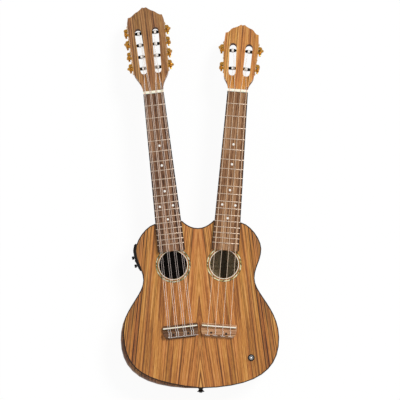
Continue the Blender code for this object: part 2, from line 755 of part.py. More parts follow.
def make_arm_rest(finish):
    """The bevelled wedge let into the edge of the lower bout."""
    points = outline()
    normals = inward_normals(points)
    shares = bevel_shares(points)
    rings = []
    for point, normal, share in zip(points, normals, shares):
        if share <= 0:
            continue
        width, drop = share * BEVEL_WIDTH, share * BEVEL_DROP
        crown = share * BEVEL_CROWN
        section = [(width, 0), (width * 2 / 3 - crown, -drop / 3 + crown),
                   (width / 3 - crown, -drop * 2 / 3 + crown), (0, -drop), (width, -drop)]
        rings.append([(*(point + normal * max(across, 0.0)), BODY_DEPTH + down)
                      for across, down in section])
    return add_object("arm_rest", *loft(rings), finish)


# Necks

def make_neck(head, finish):
    """The neck shaft, its heel and the slotted head in one piece of wood."""
    place = neck_frame(head.side)
    arc = [math.pi * k / NECK_ARC_STEPS for k in range(NECK_ARC_STEPS + 1)]
    rings = []
    for y, depth in ((-JOINT_FROM_NUT + SEAT, NECK_DEPTH_HEEL),
                     (-JOINT_FROM_NUT / 2, (NECK_DEPTH_HEEL + NECK_DEPTH_NUT) / 2),
                     (-NUT_THICKNESS, NECK_DEPTH_NUT), (NUT_THICKNESS / 2, NECK_DEPTH_NUT)):
        half = board_half_width(max(-y, 0.0))
        rings.append([(half * math.cos(a), y, -depth * math.sin(a) ** NECK_ROUNDNESS) for a in arc])
    rings.append([(x * NECK_TIP_WIDTH, NECK_TIP_LENGTH, z * NECK_TIP_DEPTH - NECK_TIP_DROP)
                  for x, y, z in rings[-1]])
    neck = add_object(f"neck_{head.strings}", *loft(rings), finish, place)
    combine(neck, add_object(f"heel_{head.strings}", *heel_solid(), finish, place), 'UNION')
    block = prism([head_outline(head)] + slot_outlines(head), -HEAD_THICKNESS, 0)
    plan = add_mesh(f"head_{head.strings}", block, finish, head_frame(head.side))
    combine(neck, plan, 'UNION')
    cuts = add_object(f"head_cuts_{head.strings}", *merge_solids(head_cuts(head)), finish)
    return combine(neck, cuts, 'DIFFERENCE')


def heel_solid():
    """The heel as U-shaped plans stacked from its cap up into the shaft."""
    back = -JOINT_FROM_NUT + SEAT
    low = -BODY_DEPTH + SEAT
    levels = [(low * share, longer, wider) for share, longer, wider in HEEL_LOW_LEVELS]
    levels += [(-NECK_DEPTH_HEEL * share, longer, wider) for share, longer, wider in HEEL_HIGH_LEVELS]
    bow = [math.pi * k / NECK_ARC_STEPS for k in range(NECK_ARC_STEPS + 1)]
    rings = []
    for z, longer, wider in levels:
        reach = HEEL_CAP_LENGTH + longer
        half = HEEL_CAP_HALF + wider
        round_reach = [reach * (HEEL_SQUARE + (1 - HEEL_SQUARE) * math.sin(a)) for a in bow]
        ring = [(half * math.cos(a), back + r, z) for a, r in zip(bow, round_reach)]
        rings.append([(half, back, z)] + ring + [(-half, back, z)])
    return loft(rings)


def head_outline(head):
    """Plan of a head in its own face: flared neck, straight sides, scalloped crown."""
    flare = curve_points((head.neck_end, 0), (head.neck_end, head.flare_at * FLARE_LEAVE),
                         (head.flare * FLARE_ARRIVE[0], head.flare_at * FLARE_ARRIVE[1]),
                         (head.flare, head.flare_at), FLARE_POINTS)
    right = [np.array((head.neck_end, 0))] + flare + [np.array((head.top, head.top_at))]
    corner = np.array((head.corner, head.corner_at))
    step = np.array((head.step, head.step_at))
    bump = np.array((CROWN_BUMP_HALF, head.tip_at))
    right.append(corner)
    right += curve_points(corner, corner + CORNER_LEAVE, step + STEP_ARRIVE, step, CROWN_POINTS)
    right += curve_points(step, step + STEP_LEAVE, bump + BUMP_ARRIVE, bump, CROWN_POINTS)
    left = [np.array((-p[0], p[1])) for p in reversed(right)]
    notch = [np.array((0.0, head.tip_at - CROWN_NOTCH))]
    return right + notch + left


def slot_outlines(head):
    """The two long slots with round ends, splayed a little toward the crown."""
    half = head.slot_width / 2
    loops = []
    for hand in (-1, 1):
        low = np.array((hand * head.slot_centre(head.slot_start + half), head.slot_start + half))
        high = np.array((hand * head.slot_centre(head.slot_end - half), head.slot_end - half))
        lean = math.atan2(high[1] - low[1], high[0] - low[0]) - math.pi / 2
        ends = []
        for centre, begin in ((high, 0.0), (low, math.pi)):
            angles = [begin + lean + math.pi * k / SLOT_END_STEPS for k in range(SLOT_END_STEPS + 1)]
            ends += [centre + half * np.array((math.cos(a), math.sin(a))) for a in angles]
        loops.append(ends)
    return loops


def head_cuts(head):
    """Roller bores through each side rail into the web, and the string ramps."""
    cuts = []
    shaft = bore_radius(ROLLER_SHAFT_RADIUS, BORE_SIDES)
    pin = bore_radius(ROLLER_PIN_RADIUS, BORE_SIDES)
    for hand in (-1, 1):
        for along in head.rollers:
            place = side_frame(head, hand, along) @ Matrix.Rotation(math.pi / 2, 4, 'Y')
            inner = -(head.side_at(along) - head.slot_centre(along) + head.slot_width / 2)
            outer = -(head.side_at(along) - head.slot_centre(along) - head.slot_width / 2)
            through = turned([(shaft, outer - OVERRUN), (shaft, OVERRUN)], BORE_SIDES)
            bottom = inner - ROLLER_PIN_LENGTH - ROLLER_PIN_END_GAP
            blind = turned([(pin, bottom), (pin, inner + OVERRUN)], BORE_SIDES)
            cuts += [moved(through, place), moved(blind, place)]
        cuts.append(moved(ramp_solid(head, hand), head_frame(head.side)))
    seat = box((-NUT_WIDTH, -JOINT_FROM_NUT / 2, JUST_ABOVE),
               (NUT_WIDTH, NUT_THICKNESS / 2 + SEAT, HEAD_FACE_RISE * 3))
    return cuts + [moved(seat, neck_frame(head.side))]


def ramp_solid(head, hand):
    """A wedge that lets the strings dip into the near end of a slot."""
    half = head.slot_width / 2
    centre = hand * head.slot_centre(head.slot_start)
    start = head.slot_start - RAMP_LENGTH
    end = head.slot_start + half
    low = -RAMP_DEPTH * (end - start) / RAMP_LENGTH
    near = half * RAMP_NEAR_WIDTH
    far = half * RAMP_FAR_WIDTH
    profile = [(start, 0.0, near), (end, low, far), (end, OVERRUN, far), (start, OVERRUN, near)]
    rings = [[(centre + across * wide, y, z) for y, z, wide in profile] for across in (-1, 1)]
    return loft(rings)


def make_fingerboard(head, finish):
    """The fingerboard with its frets, drawn as one side profile across the width."""
    top = SEAT + BOARD_THICKNESS
    start = NUT_THICKNESS / 2 + SEAT
    profile = [(-start, SEAT), (-start, top)]
    for number in range(1, FRET_COUNT + 1):
        y = -fret_distance(number)
        profile += [(y + FRET_WIDTH / 2, top), (y + FRET_CROWN / 2, top + FRET_HEIGHT),
                    (y - FRET_CROWN / 2, top + FRET_HEIGHT), (y - FRET_WIDTH / 2, top)]
    profile += [(-SOUND_HOLE_START, top), (-SOUND_HOLE_START, SEAT)]
    rings = [[(hand * board_half_width(-y), y, z) for y, z in profile] for hand in (-1, 1)]
    return add_object(f"fingerboard_{head.strings}", *loft(rings), finish, neck_frame(head.side))


def string_offsets(head):
    """Places of the strings across the saddle and across the nut, left to right."""
    at_saddle, at_nut = [], []
    for course in range(4):
        saddle = (course - 1.5) * FOUR_SPACING_SADDLE
        nut = (course - 1.5) * FOUR_SPACING_NUT
        if head.strings == 8:
            at_saddle += [saddle - PAIR_GAP_SADDLE / 2, saddle + PAIR_GAP_SADDLE / 2]
            at_nut += [nut - PAIR_GAP_NUT / 2, nut + PAIR_GAP_NUT / 2]
        else:
            at_saddle.append(saddle)
            at_nut.append(nut)
    return at_saddle, at_nut


def make_nut(head, finish):
    """The nut with a slot for each string, falling toward the head."""
    half = NUT_THICKNESS / 2
    crest = NUT_SLOT_FLOOR + NUT_SLOT_DEPTH
    profile = [(-half, SEAT), (half, SEAT), (half, crest - NUT_FALL),
               (-half + NUT_LAND, crest), (-half, crest - NUT_FRONT_DROP)]
    rings = [[(hand * NUT_WIDTH / 2, y, z) for y, z in profile] for hand in (-1, 1)]
    place = neck_frame(head.side)
    nut = add_object(f"nut_{head.strings}", *loft(rings), finish, place)
    slots = []
    for x in string_offsets(head)[1]:
        floor = [(-half - SEAT, NUT_SLOT_FLOOR), (-half + NUT_LAND, NUT_SLOT_FLOOR),
                 (half + SEAT, NUT_SLOT_FLOOR - NUT_FALL - NUT_EXTRA_FALL),
                 (half + SEAT, crest + SEAT), (-half - SEAT, crest + SEAT)]
        slots.append(loft([[(x + hand * NUT_SLOT_WIDTH / 2, y, z) for y, z in floor]
                           for hand in (-1, 1)]))
    tool = add_object(f"nut_slots_{head.strings}", *merge_solids(slots), finish, place)
    return combine(nut, tool, 'DIFFERENCE')


def make_bridge(head, finish):
    """The bridge: a side profile cut to its plan, with a saddle slot and tie bores."""
    place = neck_frame(head.side) @ Matrix.Translation((0, -SCALE_LENGTH, 0))
    profile = [(BRIDGE_FRONT, SEAT), (BRIDGE_FRONT, BRIDGE_SHELF - BRIDGE_FRONT_CHAMFER),
               (BRIDGE_FRONT - BRIDGE_FRONT_CHAMFER, BRIDGE_SHELF), (-BRIDGE_SHELF_END, BRIDGE_SHELF),
               (-BRIDGE_TROUGH_START, BRIDGE_TROUGH),
               (-TIE_BLOCK_START + TIE_BLOCK_LEAN, BRIDGE_TROUGH),
               (-TIE_BLOCK_START, TIE_BLOCK_TOP), (-TIE_BLOCK_END, TIE_BLOCK_TOP),
               (-TIE_BLOCK_END - TIE_BLOCK_LEAN, BRIDGE_APRON),
               (-BRIDGE_BACK + BRIDGE_APRON_CHAMFER, BRIDGE_APRON - BRIDGE_APRON_CHAMFER / 2),
               (-BRIDGE_BACK, SEAT)]
    rings = [[(hand * BRIDGE_WIDTH / 2, y, z) for y, z in profile] for hand in (-1, 1)]
    bridge = add_object(f"bridge_{head.strings}", *loft(rings), finish, place)
    tail = BRIDGE_TAIL_WIDTH / 2
    front = BRIDGE_WIDTH / 2 - SEAT
    back = -BRIDGE_BACK - SEAT
    chamfer = BRIDGE_SIDE_CHAMFER
    right = [np.array((front - chamfer, BRIDGE_FRONT + SEAT)), np.array((front, BRIDGE_FRONT - chamfer)),
             np.array((front, -chamfer))]
    right += curve_points((front, -chamfer), (front, back / 2), (tail + BRIDGE_CORNER / 2, back),
                          (tail - BRIDGE_CORNER, back), BRIDGE_CORNER_POINTS)
    plan = [tuple(p) for p in right] + [(-p[0], p[1]) for p in reversed(right)]
    stock = prism([plan], -SEAT, TIE_BLOCK_TOP + SEAT)
    combine(bridge, add_mesh(f"bridge_plan_{head.strings}", stock, finish, place), 'INTERSECT')
    half = SADDLE_THICKNESS / 2 + SEAT
    slot = box((-SADDLE_LENGTH / 2 - SEAT, -half, SADDLE_SLOT_FLOOR),
               (SADDLE_LENGTH / 2 + SEAT, half, TIE_BLOCK_TOP))
    cuts = [slot]
    lay_back = Matrix.Rotation(math.pi / 2, 4, 'X')
    bore = turned([(TIE_BORE_RADIUS, TIE_BLOCK_START - OVERRUN),
                   (TIE_BORE_RADIUS, TIE_BLOCK_END + OVERRUN)], TIE_BORE_SIDES)
    for x in string_offsets(head)[0]:
        cuts.append(moved(bore, Matrix.Translation((x, 0, TIE_BORE_HEIGHT)) @ lay_back))
    tool = add_object(f"bridge_cuts_{head.strings}", *merge_solids(cuts), finish, place)
    return combine(bridge, tool, 'DIFFERENCE')


def make_saddle(head, finish):
    """The saddle with a rounded crest."""
    half = SADDLE_THICKNESS / 2
    crest = half * SADDLE_CREST_SHARE
    shoulder = SADDLE_TOP - SADDLE_SHOULDER
    profile = [(-half, SADDLE_SLOT_FLOOR + SEAT), (half, SADDLE_SLOT_FLOOR + SEAT), (half, shoulder),
               (crest, SADDLE_TOP), (-crest, SADDLE_TOP), (-half, shoulder)]
    rings = [[(hand * SADDLE_LENGTH / 2, y, z) for y, z in profile] for hand in (-1, 1)]
    place = neck_frame(head.side) @ Matrix.Translation((0, -SCALE_LENGTH, 0))
    return add_object(f"saddle_{head.strings}", *loft(rings), finish, place)


# Tuners

def tooth_half(half_at_pitch, height):
    """Half thickness of a tooth or thread at a height above its pitch line."""
    return half_at_pitch - height * math.tan(PRESSURE_ANGLE)


def worm_solid():
    """The worm thread, its two journals and the button as one closed skin."""
    root = WORM_RADIUS - DEDENDUM
    tip = WORM_RADIUS + ADDENDUM
    wide = tooth_half(THREAD_HALF, -DEDENDUM)
    narrow = tooth_half(THREAD_HALF, ADDENDUM)
    step = AXIAL_PITCH / WORM_SIDES
    middle = WORM_STEPS // 2
    sides = WORM_SIDES
    verts, faces = [], []

    def ring_angle(j):
        return 2 * math.pi * (j - middle) / sides

    def add(radius, angle, z, squash=1.0):
        verts.append((radius * math.cos(angle), radius * math.sin(angle) * squash, z))
        return len(verts) - 1

    low_foot, low_tip, high_tip, high_foot = [], [], [], []
    for j in range(WORM_STEPS + 1):
        z = (j - middle) * step
        angle = ring_angle(j)
        low_foot.append(add(root, angle, z - wide))
        low_tip.append(add(tip, angle, z - narrow))
        high_tip.append(add(tip, angle, z + narrow))
        high_foot.append(add(root, angle, z + wide))
    last = WORM_STEPS
    for j in range(last):
        faces.append((low_foot[j], low_foot[j + 1], low_tip[j + 1], low_tip[j]))
        faces.append((low_tip[j], low_tip[j + 1], high_tip[j + 1], high_tip[j]))
        faces.append((high_tip[j], high_tip[j + 1], high_foot[j + 1], high_foot[j]))
    for j in range(last - sides):
        faces.append((high_foot[j], high_foot[j + 1], low_foot[j + 1 + sides], low_foot[j + sides]))
    faces.append((low_foot[0], low_tip[0], high_tip[0], high_foot[0]))
    faces.append((low_foot[last], high_foot[last], high_tip[last], low_tip[last]))

    reach = middle * step + wide
    ear_in = reach + RUNNING
    ear_out = ear_in + EAR_THICKNESS
    shoulder = reach + WORM_SHOULDER
    back = -(HEAD_THICKNESS - ROLLER_DEPTH) - BUTTON_SHANK
    below = [(root, root, -shoulder), (JOURNAL_RADIUS, JOURNAL_RADIUS, -shoulder),
             (JOURNAL_RADIUS, JOURNAL_RADIUS, back)]
    below += [(wide_share * BUTTON_HALF_WIDTH, thick_share * BUTTON_HALF_THICKNESS,
               back - place * BUTTON_LENGTH) for wide_share, thick_share, place in BUTTON_RINGS]
    above = [(root, root, shoulder), (JOURNAL_RADIUS, JOURNAL_RADIUS, shoulder),
             (JOURNAL_RADIUS, JOURNAL_RADIUS, ear_out + JOURNAL_END)]

    def add_rings(profile, first_step):
        rings = []
        for radius_x, radius_y, z in profile:
            rings.append([add(radius_x, ring_angle(first_step + k), z, radius_y / radius_x)
                          for k in range(sides)])
        for lower, upper in zip(rings, rings[1:]):
            for k in range(sides):
                n = (k + 1) % sides
                faces.append((lower[k], lower[n], upper[n], upper[k]))
        faces.append(tuple(rings[-1]))
        return rings[0]

    start = add_rings(below, 0)
    for k in range(sides - 1):
        faces.append((start[k], start[k + 1], low_foot[k + 1], low_foot[k]))
    apex = low_foot[sides - 1]
    faces += [(apex, start[sides - 1], start[0]), (apex, start[0], low_foot[0]),
              (apex, low_foot[0], high_foot[0]), (apex, high_foot[0], low_foot[sides])]
    end = add_rings(above, last - sides)
    for k in range(1, sides):
        n = (k + 1) % sides
        j = last - sides + k
        faces.append((high_foot[j], high_foot[j + 1], end[n], end[k]))
    apex = high_foot[last - sides + 1]
    faces += [(apex, end[1], end[0]), (apex, end[0], high_foot[last]),
              (apex, high_foot[last], low_foot[last]), (apex, low_foot[last], high_foot[last - sides])]
    return verts, faces


def bridge_rings(outer, outer_angles, inner, inner_angles):
    """Triangles between two rings that share a centre but not a count."""
    faces = []
    a, b = 0, 0
    count_a, count_b = len(outer), len(inner)
    while a < count_a or b < count_b:
        next_a = outer_angles[0] + 2 * math.pi if a + 1 >= count_a else outer_angles[a + 1]
        next_b = inner_angles[0] + 2 * math.pi if b + 1 >= count_b else inner_angles[b + 1]
        if b >= count_b or (a < count_a and next_a <= next_b):
            faces.append((outer[a % count_a], outer[(a + 1) % count_a], inner[b % count_b]))
            a += 1
        else:
            faces.append((outer[a % count_a], inner[(b + 1) % count_b], inner[b % count_b]))
            b += 1
    return faces


def roller_solid(head):
    """A string roller with its gear, turned about Z, which points out of the head."""
    lead = math.atan(AXIAL_PITCH / (2 * math.pi * WORM_RADIUS))
    twist = math.tan(lead) / GEAR_RADIUS
    sides = ROLLER_SIDES
    gear_low = WORM_OUT - GEAR_THICKNESS / 2
    gear_high = WORM_OUT + GEAR_THICKNESS / 2
    barrel_in = -head.barrel_end() + RUNNING
    barrel_out = -head.rail() - RUNNING
    inner_profile = [(ROLLER_PIN_RADIUS, barrel_in - ROLLER_PIN_LENGTH),
                     (ROLLER_PIN_RADIUS, barrel_in),
                     (ROLLER_RADIUS, barrel_in), (ROLLER_RADIUS, barrel_out),
                     (ROLLER_SHAFT_RADIUS, barrel_out), (ROLLER_SHAFT_RADIUS, gear_low)]
    outer_profile = [(GEAR_BOSS_RADIUS, gear_high), (GEAR_BOSS_RADIUS, gear_high + GEAR_BOSS_HEIGHT)]
    ring_angles = [2 * math.pi * k / sides for k in range(sides)]
    verts, faces = [], []

    def add_profile(profile):
        rings = []
        for radius, z in profile:
            base = len(verts)
            verts.extend((radius * math.cos(a), radius * math.sin(a), z) for a in ring_angles)
            rings.append(list(range(base, base + sides)))
        for lower, upper in zip(rings, rings[1:]):
            for k in range(sides):
                n = (k + 1) % sides
                faces.append((lower[k], lower[n], upper[n], upper[k]))
        return rings

    def add_teeth(z):
        radius = (GEAR_RADIUS - DEDENDUM, GEAR_RADIUS + ADDENDUM)
        foot = tooth_half(TOOTH_HALF, -DEDENDUM) / radius[0]
        point = tooth_half(TOOTH_HALF, ADDENDUM) / radius[1]
        indices, angles = [], []
        for tooth in range(GEAR_TEETH):
            middle = 2 * math.pi * tooth / GEAR_TEETH + twist * (z - WORM_OUT)
            for offset, r in ((-foot, radius[0]), (-point, radius[1]),
                              (point, radius[1]), (foot, radius[0])):
                angle = middle + offset
                indices.append(len(verts))
                angles.append(angle)
                verts.append((r * math.cos(angle), r * math.sin(angle), z))
        return indices, angles

    inside = add_profile(inner_profile)
    outside = add_profile(outer_profile)
    low_teeth, low_angles = add_teeth(gear_low)
    high_teeth, high_angles = add_teeth(gear_high)
    count = len(low_teeth)
    for k in range(count):
        n = (k + 1) % count
        faces.append((low_teeth[k], low_teeth[n], high_teeth[n], high_teeth[k]))
    faces += bridge_rings(low_teeth, low_angles, inside[-1], ring_angles)
    faces += bridge_rings(high_teeth, high_angles, outside[0], ring_angles)
    faces.append(tuple(inside[0]))
    faces.append(tuple(outside[-1]))
    return verts, faces


def ear_solids():
    """The two ears that carry a worm, in the side frame of a roller."""
    reach = WORM_STEPS / 2 * AXIAL_PITCH / WORM_SIDES + tooth_half(THREAD_HALF, -DEDENDUM)
    near = reach + RUNNING
    foot = SEAT + PLATE_THICKNESS / 2 - WORM_OUT
    bow = [math.pi * (k / EAR_STEPS - 0.5) for k in range(EAR_STEPS + 1)]
    round_end = [(EAR_RADIUS * math.cos(a), EAR_RADIUS * math.sin(a)) for a in bow]
    edge = [(foot, -EAR_RADIUS)] + round_end + [(foot, EAR_RADIUS)]
    rings = []
    for low, high in ((near, near + EAR_THICKNESS), (-near - EAR_THICKNESS, -near)):
        rings.append(loft([[(x, y, z) for x, y in edge] for z in (low, high)]))
    return rings


def tuner_frame(head, hand, along):
    """A worm's axis at one roller."""
    return side_frame(head, hand, along) @ Matrix.Translation((WORM_OUT, hand * CENTRE_DISTANCE, 0))


def make_plate(head, hand, name, finish):
    """A side plate with its roller holes and the ears that carry the worms."""
    frame = side_frame(head, hand, head.rollers[0])
    inverse = frame.inverted()
    stand = Matrix(((0, 0, 1, 0), (1, 0, 0, 0), (0, 1, 0, 0), (0, 0, 0, 1)))
    centres = [(inverse @ side_frame(head, hand, a)).translation.y for a in head.rollers]
    worms = [c + hand * CENTRE_DISTANCE for c in centres]
    low = min(centres + worms) - PLATE_END
    high = max(centres + worms) + PLATE_END
    width = PLATE_HALF_WIDTH
    bevel = PLATE_CORNER
    shape = [(low + bevel, -width), (high - bevel, -width), (high, -width + bevel),
             (high, width - bevel), (high - bevel, width), (low + bevel, width),
             (low, width - bevel), (low, -width + bevel)]
    hole = bore_radius(ROLLER_SHAFT_RADIUS, BORE_SIDES)
    loops = [shape] + [circle(c, 0, hole, BORE_SIDES) for c in centres]
    plate = add_mesh(name, prism(loops, SEAT, SEAT + PLATE_THICKNESS), finish, frame @ stand)
    ears, bores = [], []
    bore = bore_radius(JOURNAL_RADIUS, JOURNAL_BORE_SIDES)
    tall = PLATE_HALF_WIDTH
    for along in head.rollers:
        place = tuner_frame(head, hand, along)
        ears += [moved(ear, place) for ear in ear_solids()]
        bores.append(moved(turned([(bore, -tall), (bore, tall)], JOURNAL_BORE_SIDES), place))
    combine(plate, add_object(f"{name}_ears", *merge_solids(ears), finish), 'UNION')
    return combine(plate, add_object(f"{name}_bores", *merge_solids(bores), finish), 'DIFFERENCE')


def make_tuners(head, first_number, finishes):
    """Rollers and buttons of one head, numbered as their strings."""
    worm_mesh, roller_mesh = None, None
    numbers = string_of_roller(head)
    for (hand, row), string in sorted(numbers.items(), key=lambda item: item[1]):
        along = head.rollers[row]
        turn = math.radians(BUTTON_TURNS[first_number + string])
        label = f"{head.strings}_{string + 1}"
        place = tuner_frame(head, hand, along) @ Matrix.Rotation(turn, 4, 'Z')
        if worm_mesh is None:
            worm = add_object(f"tuner_button_{label}", *worm_solid(), finishes["gold"], place)
            worm_mesh = worm.data
        else:
            add_mesh(f"tuner_button_{label}", worm_mesh, finishes["gold"], place)
        # The thread stands three quarters of a tooth's pitch round from the gear's first tooth.
        gear_turn = hand * math.pi / 2 - 1.5 * math.pi / GEAR_TEETH - hand * turn / GEAR_TEETH
        place = (side_frame(head, hand, along) @ Matrix.Rotation(math.pi / 2, 4, 'Y')
                 @ Matrix.Rotation(gear_turn, 4, 'Z'))
        if roller_mesh is None:
            roller = add_object(f"string_roller_{label}", *roller_solid(head),
                                finishes["roller"], place)
            roller_mesh = roller.data
        else:
            add_mesh(f"string_roller_{label}", roller_mesh, finishes["roller"], place)


def string_of_roller(head):
    """Which string each roller holds: the outer strings go to the rollers by the nut."""
    numbers = {}
    rows = len(head.rollers)
    for row in range(rows):
        numbers[(-1, row)] = row
        numbers[(1, row)] = head.strings - 1 - row
    return numbers


# Strings

def string_route(head, hand, row, string):
    """Centre line of one string from its knot at the bridge to its roller."""
    neck = neck_frame(head.side)
    at_saddle = string_offsets(head)[0][string]
    at_nut = string_offsets(head)[1][string]
    radius = STRING_RADIUS
    over = TIE_BLOCK_TOP + SEAT + radius
    side_step = radius * 2 + STRING_SIDE_GAP
    front, back = TIE_BLOCK_START, TIE_BLOCK_END
    # From its end beside the tie block over its top, down behind it and forward through the bore
    tail = [(side_step, front - TAIL_CLEAR, TIE_BLOCK_TOP - 2 * TAIL_CLEAR),
            (side_step, front - 0.9 * TAIL_CLEAR, TIE_BLOCK_TOP + 0.1 * TAIL_CLEAR),
            (side_step * 0.9, front - 0.25 * TAIL_CLEAR, over),
            (side_step * 0.4, back - 0.2 * TAIL_CLEAR, over),
            (side_step * 0.2, back + 0.58 * LOOP_BULGE, TIE_BLOCK_TOP + 0.2 * TAIL_CLEAR),
            (0.0, back + LOOP_BULGE, TIE_BORE_HEIGHT + LOOP_BULGE),
            (0.0, back + 0.46 * LOOP_BULGE, TIE_BORE_HEIGHT),
            (0.0, front - 0.6 * TAIL_CLEAR, TIE_BORE_HEIGHT + 0.1 * TAIL_CLEAR)]
    points = [neck @ Vector((at_saddle + x, -SCALE_LENGTH - behind, z)) for x, behind, z in tail]
    crest = SADDLE_TOP + SEAT + radius
    half = SADDLE_THICKNESS / 2
    points.append(neck @ Vector((at_saddle, -SCALE_LENGTH - half * 0.8, crest - SADDLE_BEND_DROP)))
    points.append(neck @ Vector((at_saddle, -SCALE_LENGTH + half * 0.5, crest)))
    rise = NUT_SLOT_FLOOR + SEAT + radius
    nut_front = -NUT_THICKNESS / 2
    points.append(neck @ Vector((at_nut, nut_front + NUT_BREAK_START, rise)))
    points.append(neck @ Vector((at_nut, nut_front + NUT_BREAK_END, rise - NUT_BREAK_DROP)))
    return points + winding(head, hand, row, points[-1])


def winding(head, hand, row, arriving):
    """Turns of a string round its roller, from where it first touches it."""
    along = head.rollers[row]
    place = side_frame(head, hand, along)
    centre = (barrel_middle(head), 0.0, 0.0)
    start = place.inverted() @ arriving
    reach = (ROLLER_RADIUS + SEAT + STRING_RADIUS) / math.cos(math.pi / WINDING_POINTS)
    distance = math.hypot(start.y, start.z)
    facing = math.atan2(start.z, start.y)
    open_angle = math.acos(reach / distance)
    # Of the two tangents to the roller the string takes the one on the face side.
    candidates = [facing + open_angle, facing - open_angle]
    touch = max(candidates, key=math.sin)
    spin = -1 if touch == candidates[1] else 1
    steps = round(WINDING_TURNS * WINDING_POINTS)
    points = []
    for k in range(steps + 1):
        angle = touch + spin * 2 * math.pi * k / WINDING_POINTS
        x = centre[0] + WINDING_PITCH * (k / WINDING_POINTS - WINDING_TURNS / 2)
        points.append(place @ Vector((x, reach * math.cos(angle), reach * math.sin(angle))))
    return points


def barrel_middle(head):
    """Middle of a roller's barrel in its side frame."""
    return -(head.rail() + head.barrel_end()) / 2


def make_string(head, hand, row, string, finish):
    """One string as a tube along its route."""
    points = string_route(head, hand, row, string)
    path = bpy.data.curves.new(f"string_{head.strings}_{string + 1}", 'CURVE')
    path.dimensions = '3D'
    path.bevel_depth = STRING_RADIUS
    path.bevel_resolution = STRING_BEVEL_STEPS
    path.use_fill_caps = True
    line = path.splines.new('POLY')
    line.points.add(len(points) - 1)
    for spot, point in zip(line.points, points):
        spot.co = (*point, 1.0)
    path.materials.append(finish)
    made = bpy.data.objects.new(path.name, path)
    bpy.context.scene.collection.objects.link(made)
    return made


def least_winding_gap():
    """Smallest gap between neighbouring turns of a winding."""
    slant = math.cos(math.atan(WINDING_PITCH / (2 * math.pi * ROLLER_RADIUS)))
    return WINDING_PITCH * slant - 2 * STRING_RADIUS


# Controls and hardware

def point_on_side(y):
    """The outline's point on the left side at one height."""
    return Vector((-half_width_at(y), y, 0))


def preamp_frame():
    """On the side wall behind the knobs: X out of the body, Z up."""
    middle = (PREAMP_LOW_Y + PREAMP_HIGH_Y) / 2
    spot = point_on_side(middle) + Vector((0, 0, BODY_DEPTH / 2))
    return Matrix.Translation(spot) @ Matrix.Rotation(math.pi + KNOB_TILT, 4, 'Z')


def bezel_stations():
    """Points of the bezel's back, soft edge and face at each bend of the side wall."""
    low, high = PREAMP_LOW_Y, PREAMP_HIGH_Y
    first = LOWER_POINTS + WAIST_POINTS
    bends = [p[1] for p in right_outline()[first:first + UPPER_POINTS + SHOULDER_POINTS]]
    heights = [low] + [y for y in bends if low + BEZEL_LEAST_SPAN < y < high - BEZEL_LEAST_SPAN] + [high]
    stations = []
    for y in heights:
        here = point_on_side(y)
        slope = point_on_side(y + SLOPE_STEP) - point_on_side(y - SLOPE_STEP)
        out = Vector((-slope.y, slope.x, 0)).normalized()
        proud = PREAMP_PROUD * (BEZEL_END_SHARE if y in (low, high) else 1.0)
        stations.append((here + out * SEAT, here + out * (proud - BEZEL_SOFT), here + out * proud))
    return stations


def case_plan():
    """Plan of the preamp's case in its own frame, with its front sunk in the bezel's back."""
    to_case = preamp_frame().inverted()
    backs = [to_case @ station[0] for station in bezel_stations()]
    across, out = zip(*sorted((p.y, p.x) for p in backs))
    half = PREAMP_CASE_LENGTH / 2
    places = [-half] + [y for y in across if -half < y < half] + [half]
    front = [(float(np.interp(y, across, out)) + PREAMP_CASE_SINK, y) for y in places]
    return [(-PREAMP_CASE_DEPTH, half), (-PREAMP_CASE_DEPTH, -half)] + front


def make_preamp(finish):
    """The preamp: a bezel bent to the side wall and a case that reaches inside."""
    low = (BODY_DEPTH - PREAMP_HEIGHT) / 2
    high = low + PREAMP_HEIGHT
    rings = []
    for back, soft, face in bezel_stations():
        rings.append([(back.x, back.y, low), (soft.x, soft.y, low), (face.x, face.y, low + BEZEL_RIM),
                      (face.x, face.y, high - BEZEL_RIM), (soft.x, soft.y, high), (back.x, back.y, high)])
    bezel = add_object("preamp_housing", *loft(rings), finish)
    case = prism([case_plan()], -PREAMP_CASE_HEIGHT / 2, PREAMP_CASE_HEIGHT / 2)
    combine(bezel, add_mesh("preamp_case", case, finish, preamp_frame()), 'UNION')
    radius = bore_radius(KNOB_SHAFT_RADIUS, KNOB_BORE_SIDES)
    bore = turned([(radius, -KNOB_BORE_DEPTH), (radius, OVERRUN)], KNOB_BORE_SIDES)
    bores = merge_solids([moved(bore, knob_frame(number)) for number in (0, 1)])
    return combine(bezel, add_object("knob_bores", *bores, finish), 'DIFFERENCE')


def knob_frame(number):
    """A knob's axis, out of the side, just clear of the bezel's face under its rim."""
    spot = point_on_side(KNOB_Y - number * KNOB_SPACING) + Vector((0, 0, BODY_DEPTH / 2))
    frame = Matrix.Translation(spot) @ Matrix.Rotation(math.pi + KNOB_TILT, 4, 'Z')
    face = [frame.inverted() @ station[-1] for station in bezel_stations()]
    across, out = zip(*sorted((p.y, p.x) for p in face))
    under = [across_at for across_at in across if abs(across_at) < KNOB_RADIUS]
    height = max(np.interp([-KNOB_RADIUS, KNOB_RADIUS] + under, across, out)) + RUNNING
    return frame @ Matrix.Translation((float(height), 0, 0)) @ Matrix.Rotation(math.pi / 2, 4, 'Y')


def make_knob(name, number, finish):
    """A small knob on its shaft."""
    profile = [(KNOB_SHAFT_RADIUS, -KNOB_BORE_DEPTH + RUNNING), (KNOB_SHAFT_RADIUS, 0),
               (KNOB_RADIUS, 0), (KNOB_RADIUS, KNOB_HEIGHT - KNOB_CHAMFER),
               (KNOB_RADIUS - KNOB_CHAMFER, KNOB_HEIGHT)]
    return add_object(name, *turned(profile, KNOB_SIDES), finish, knob_frame(number))


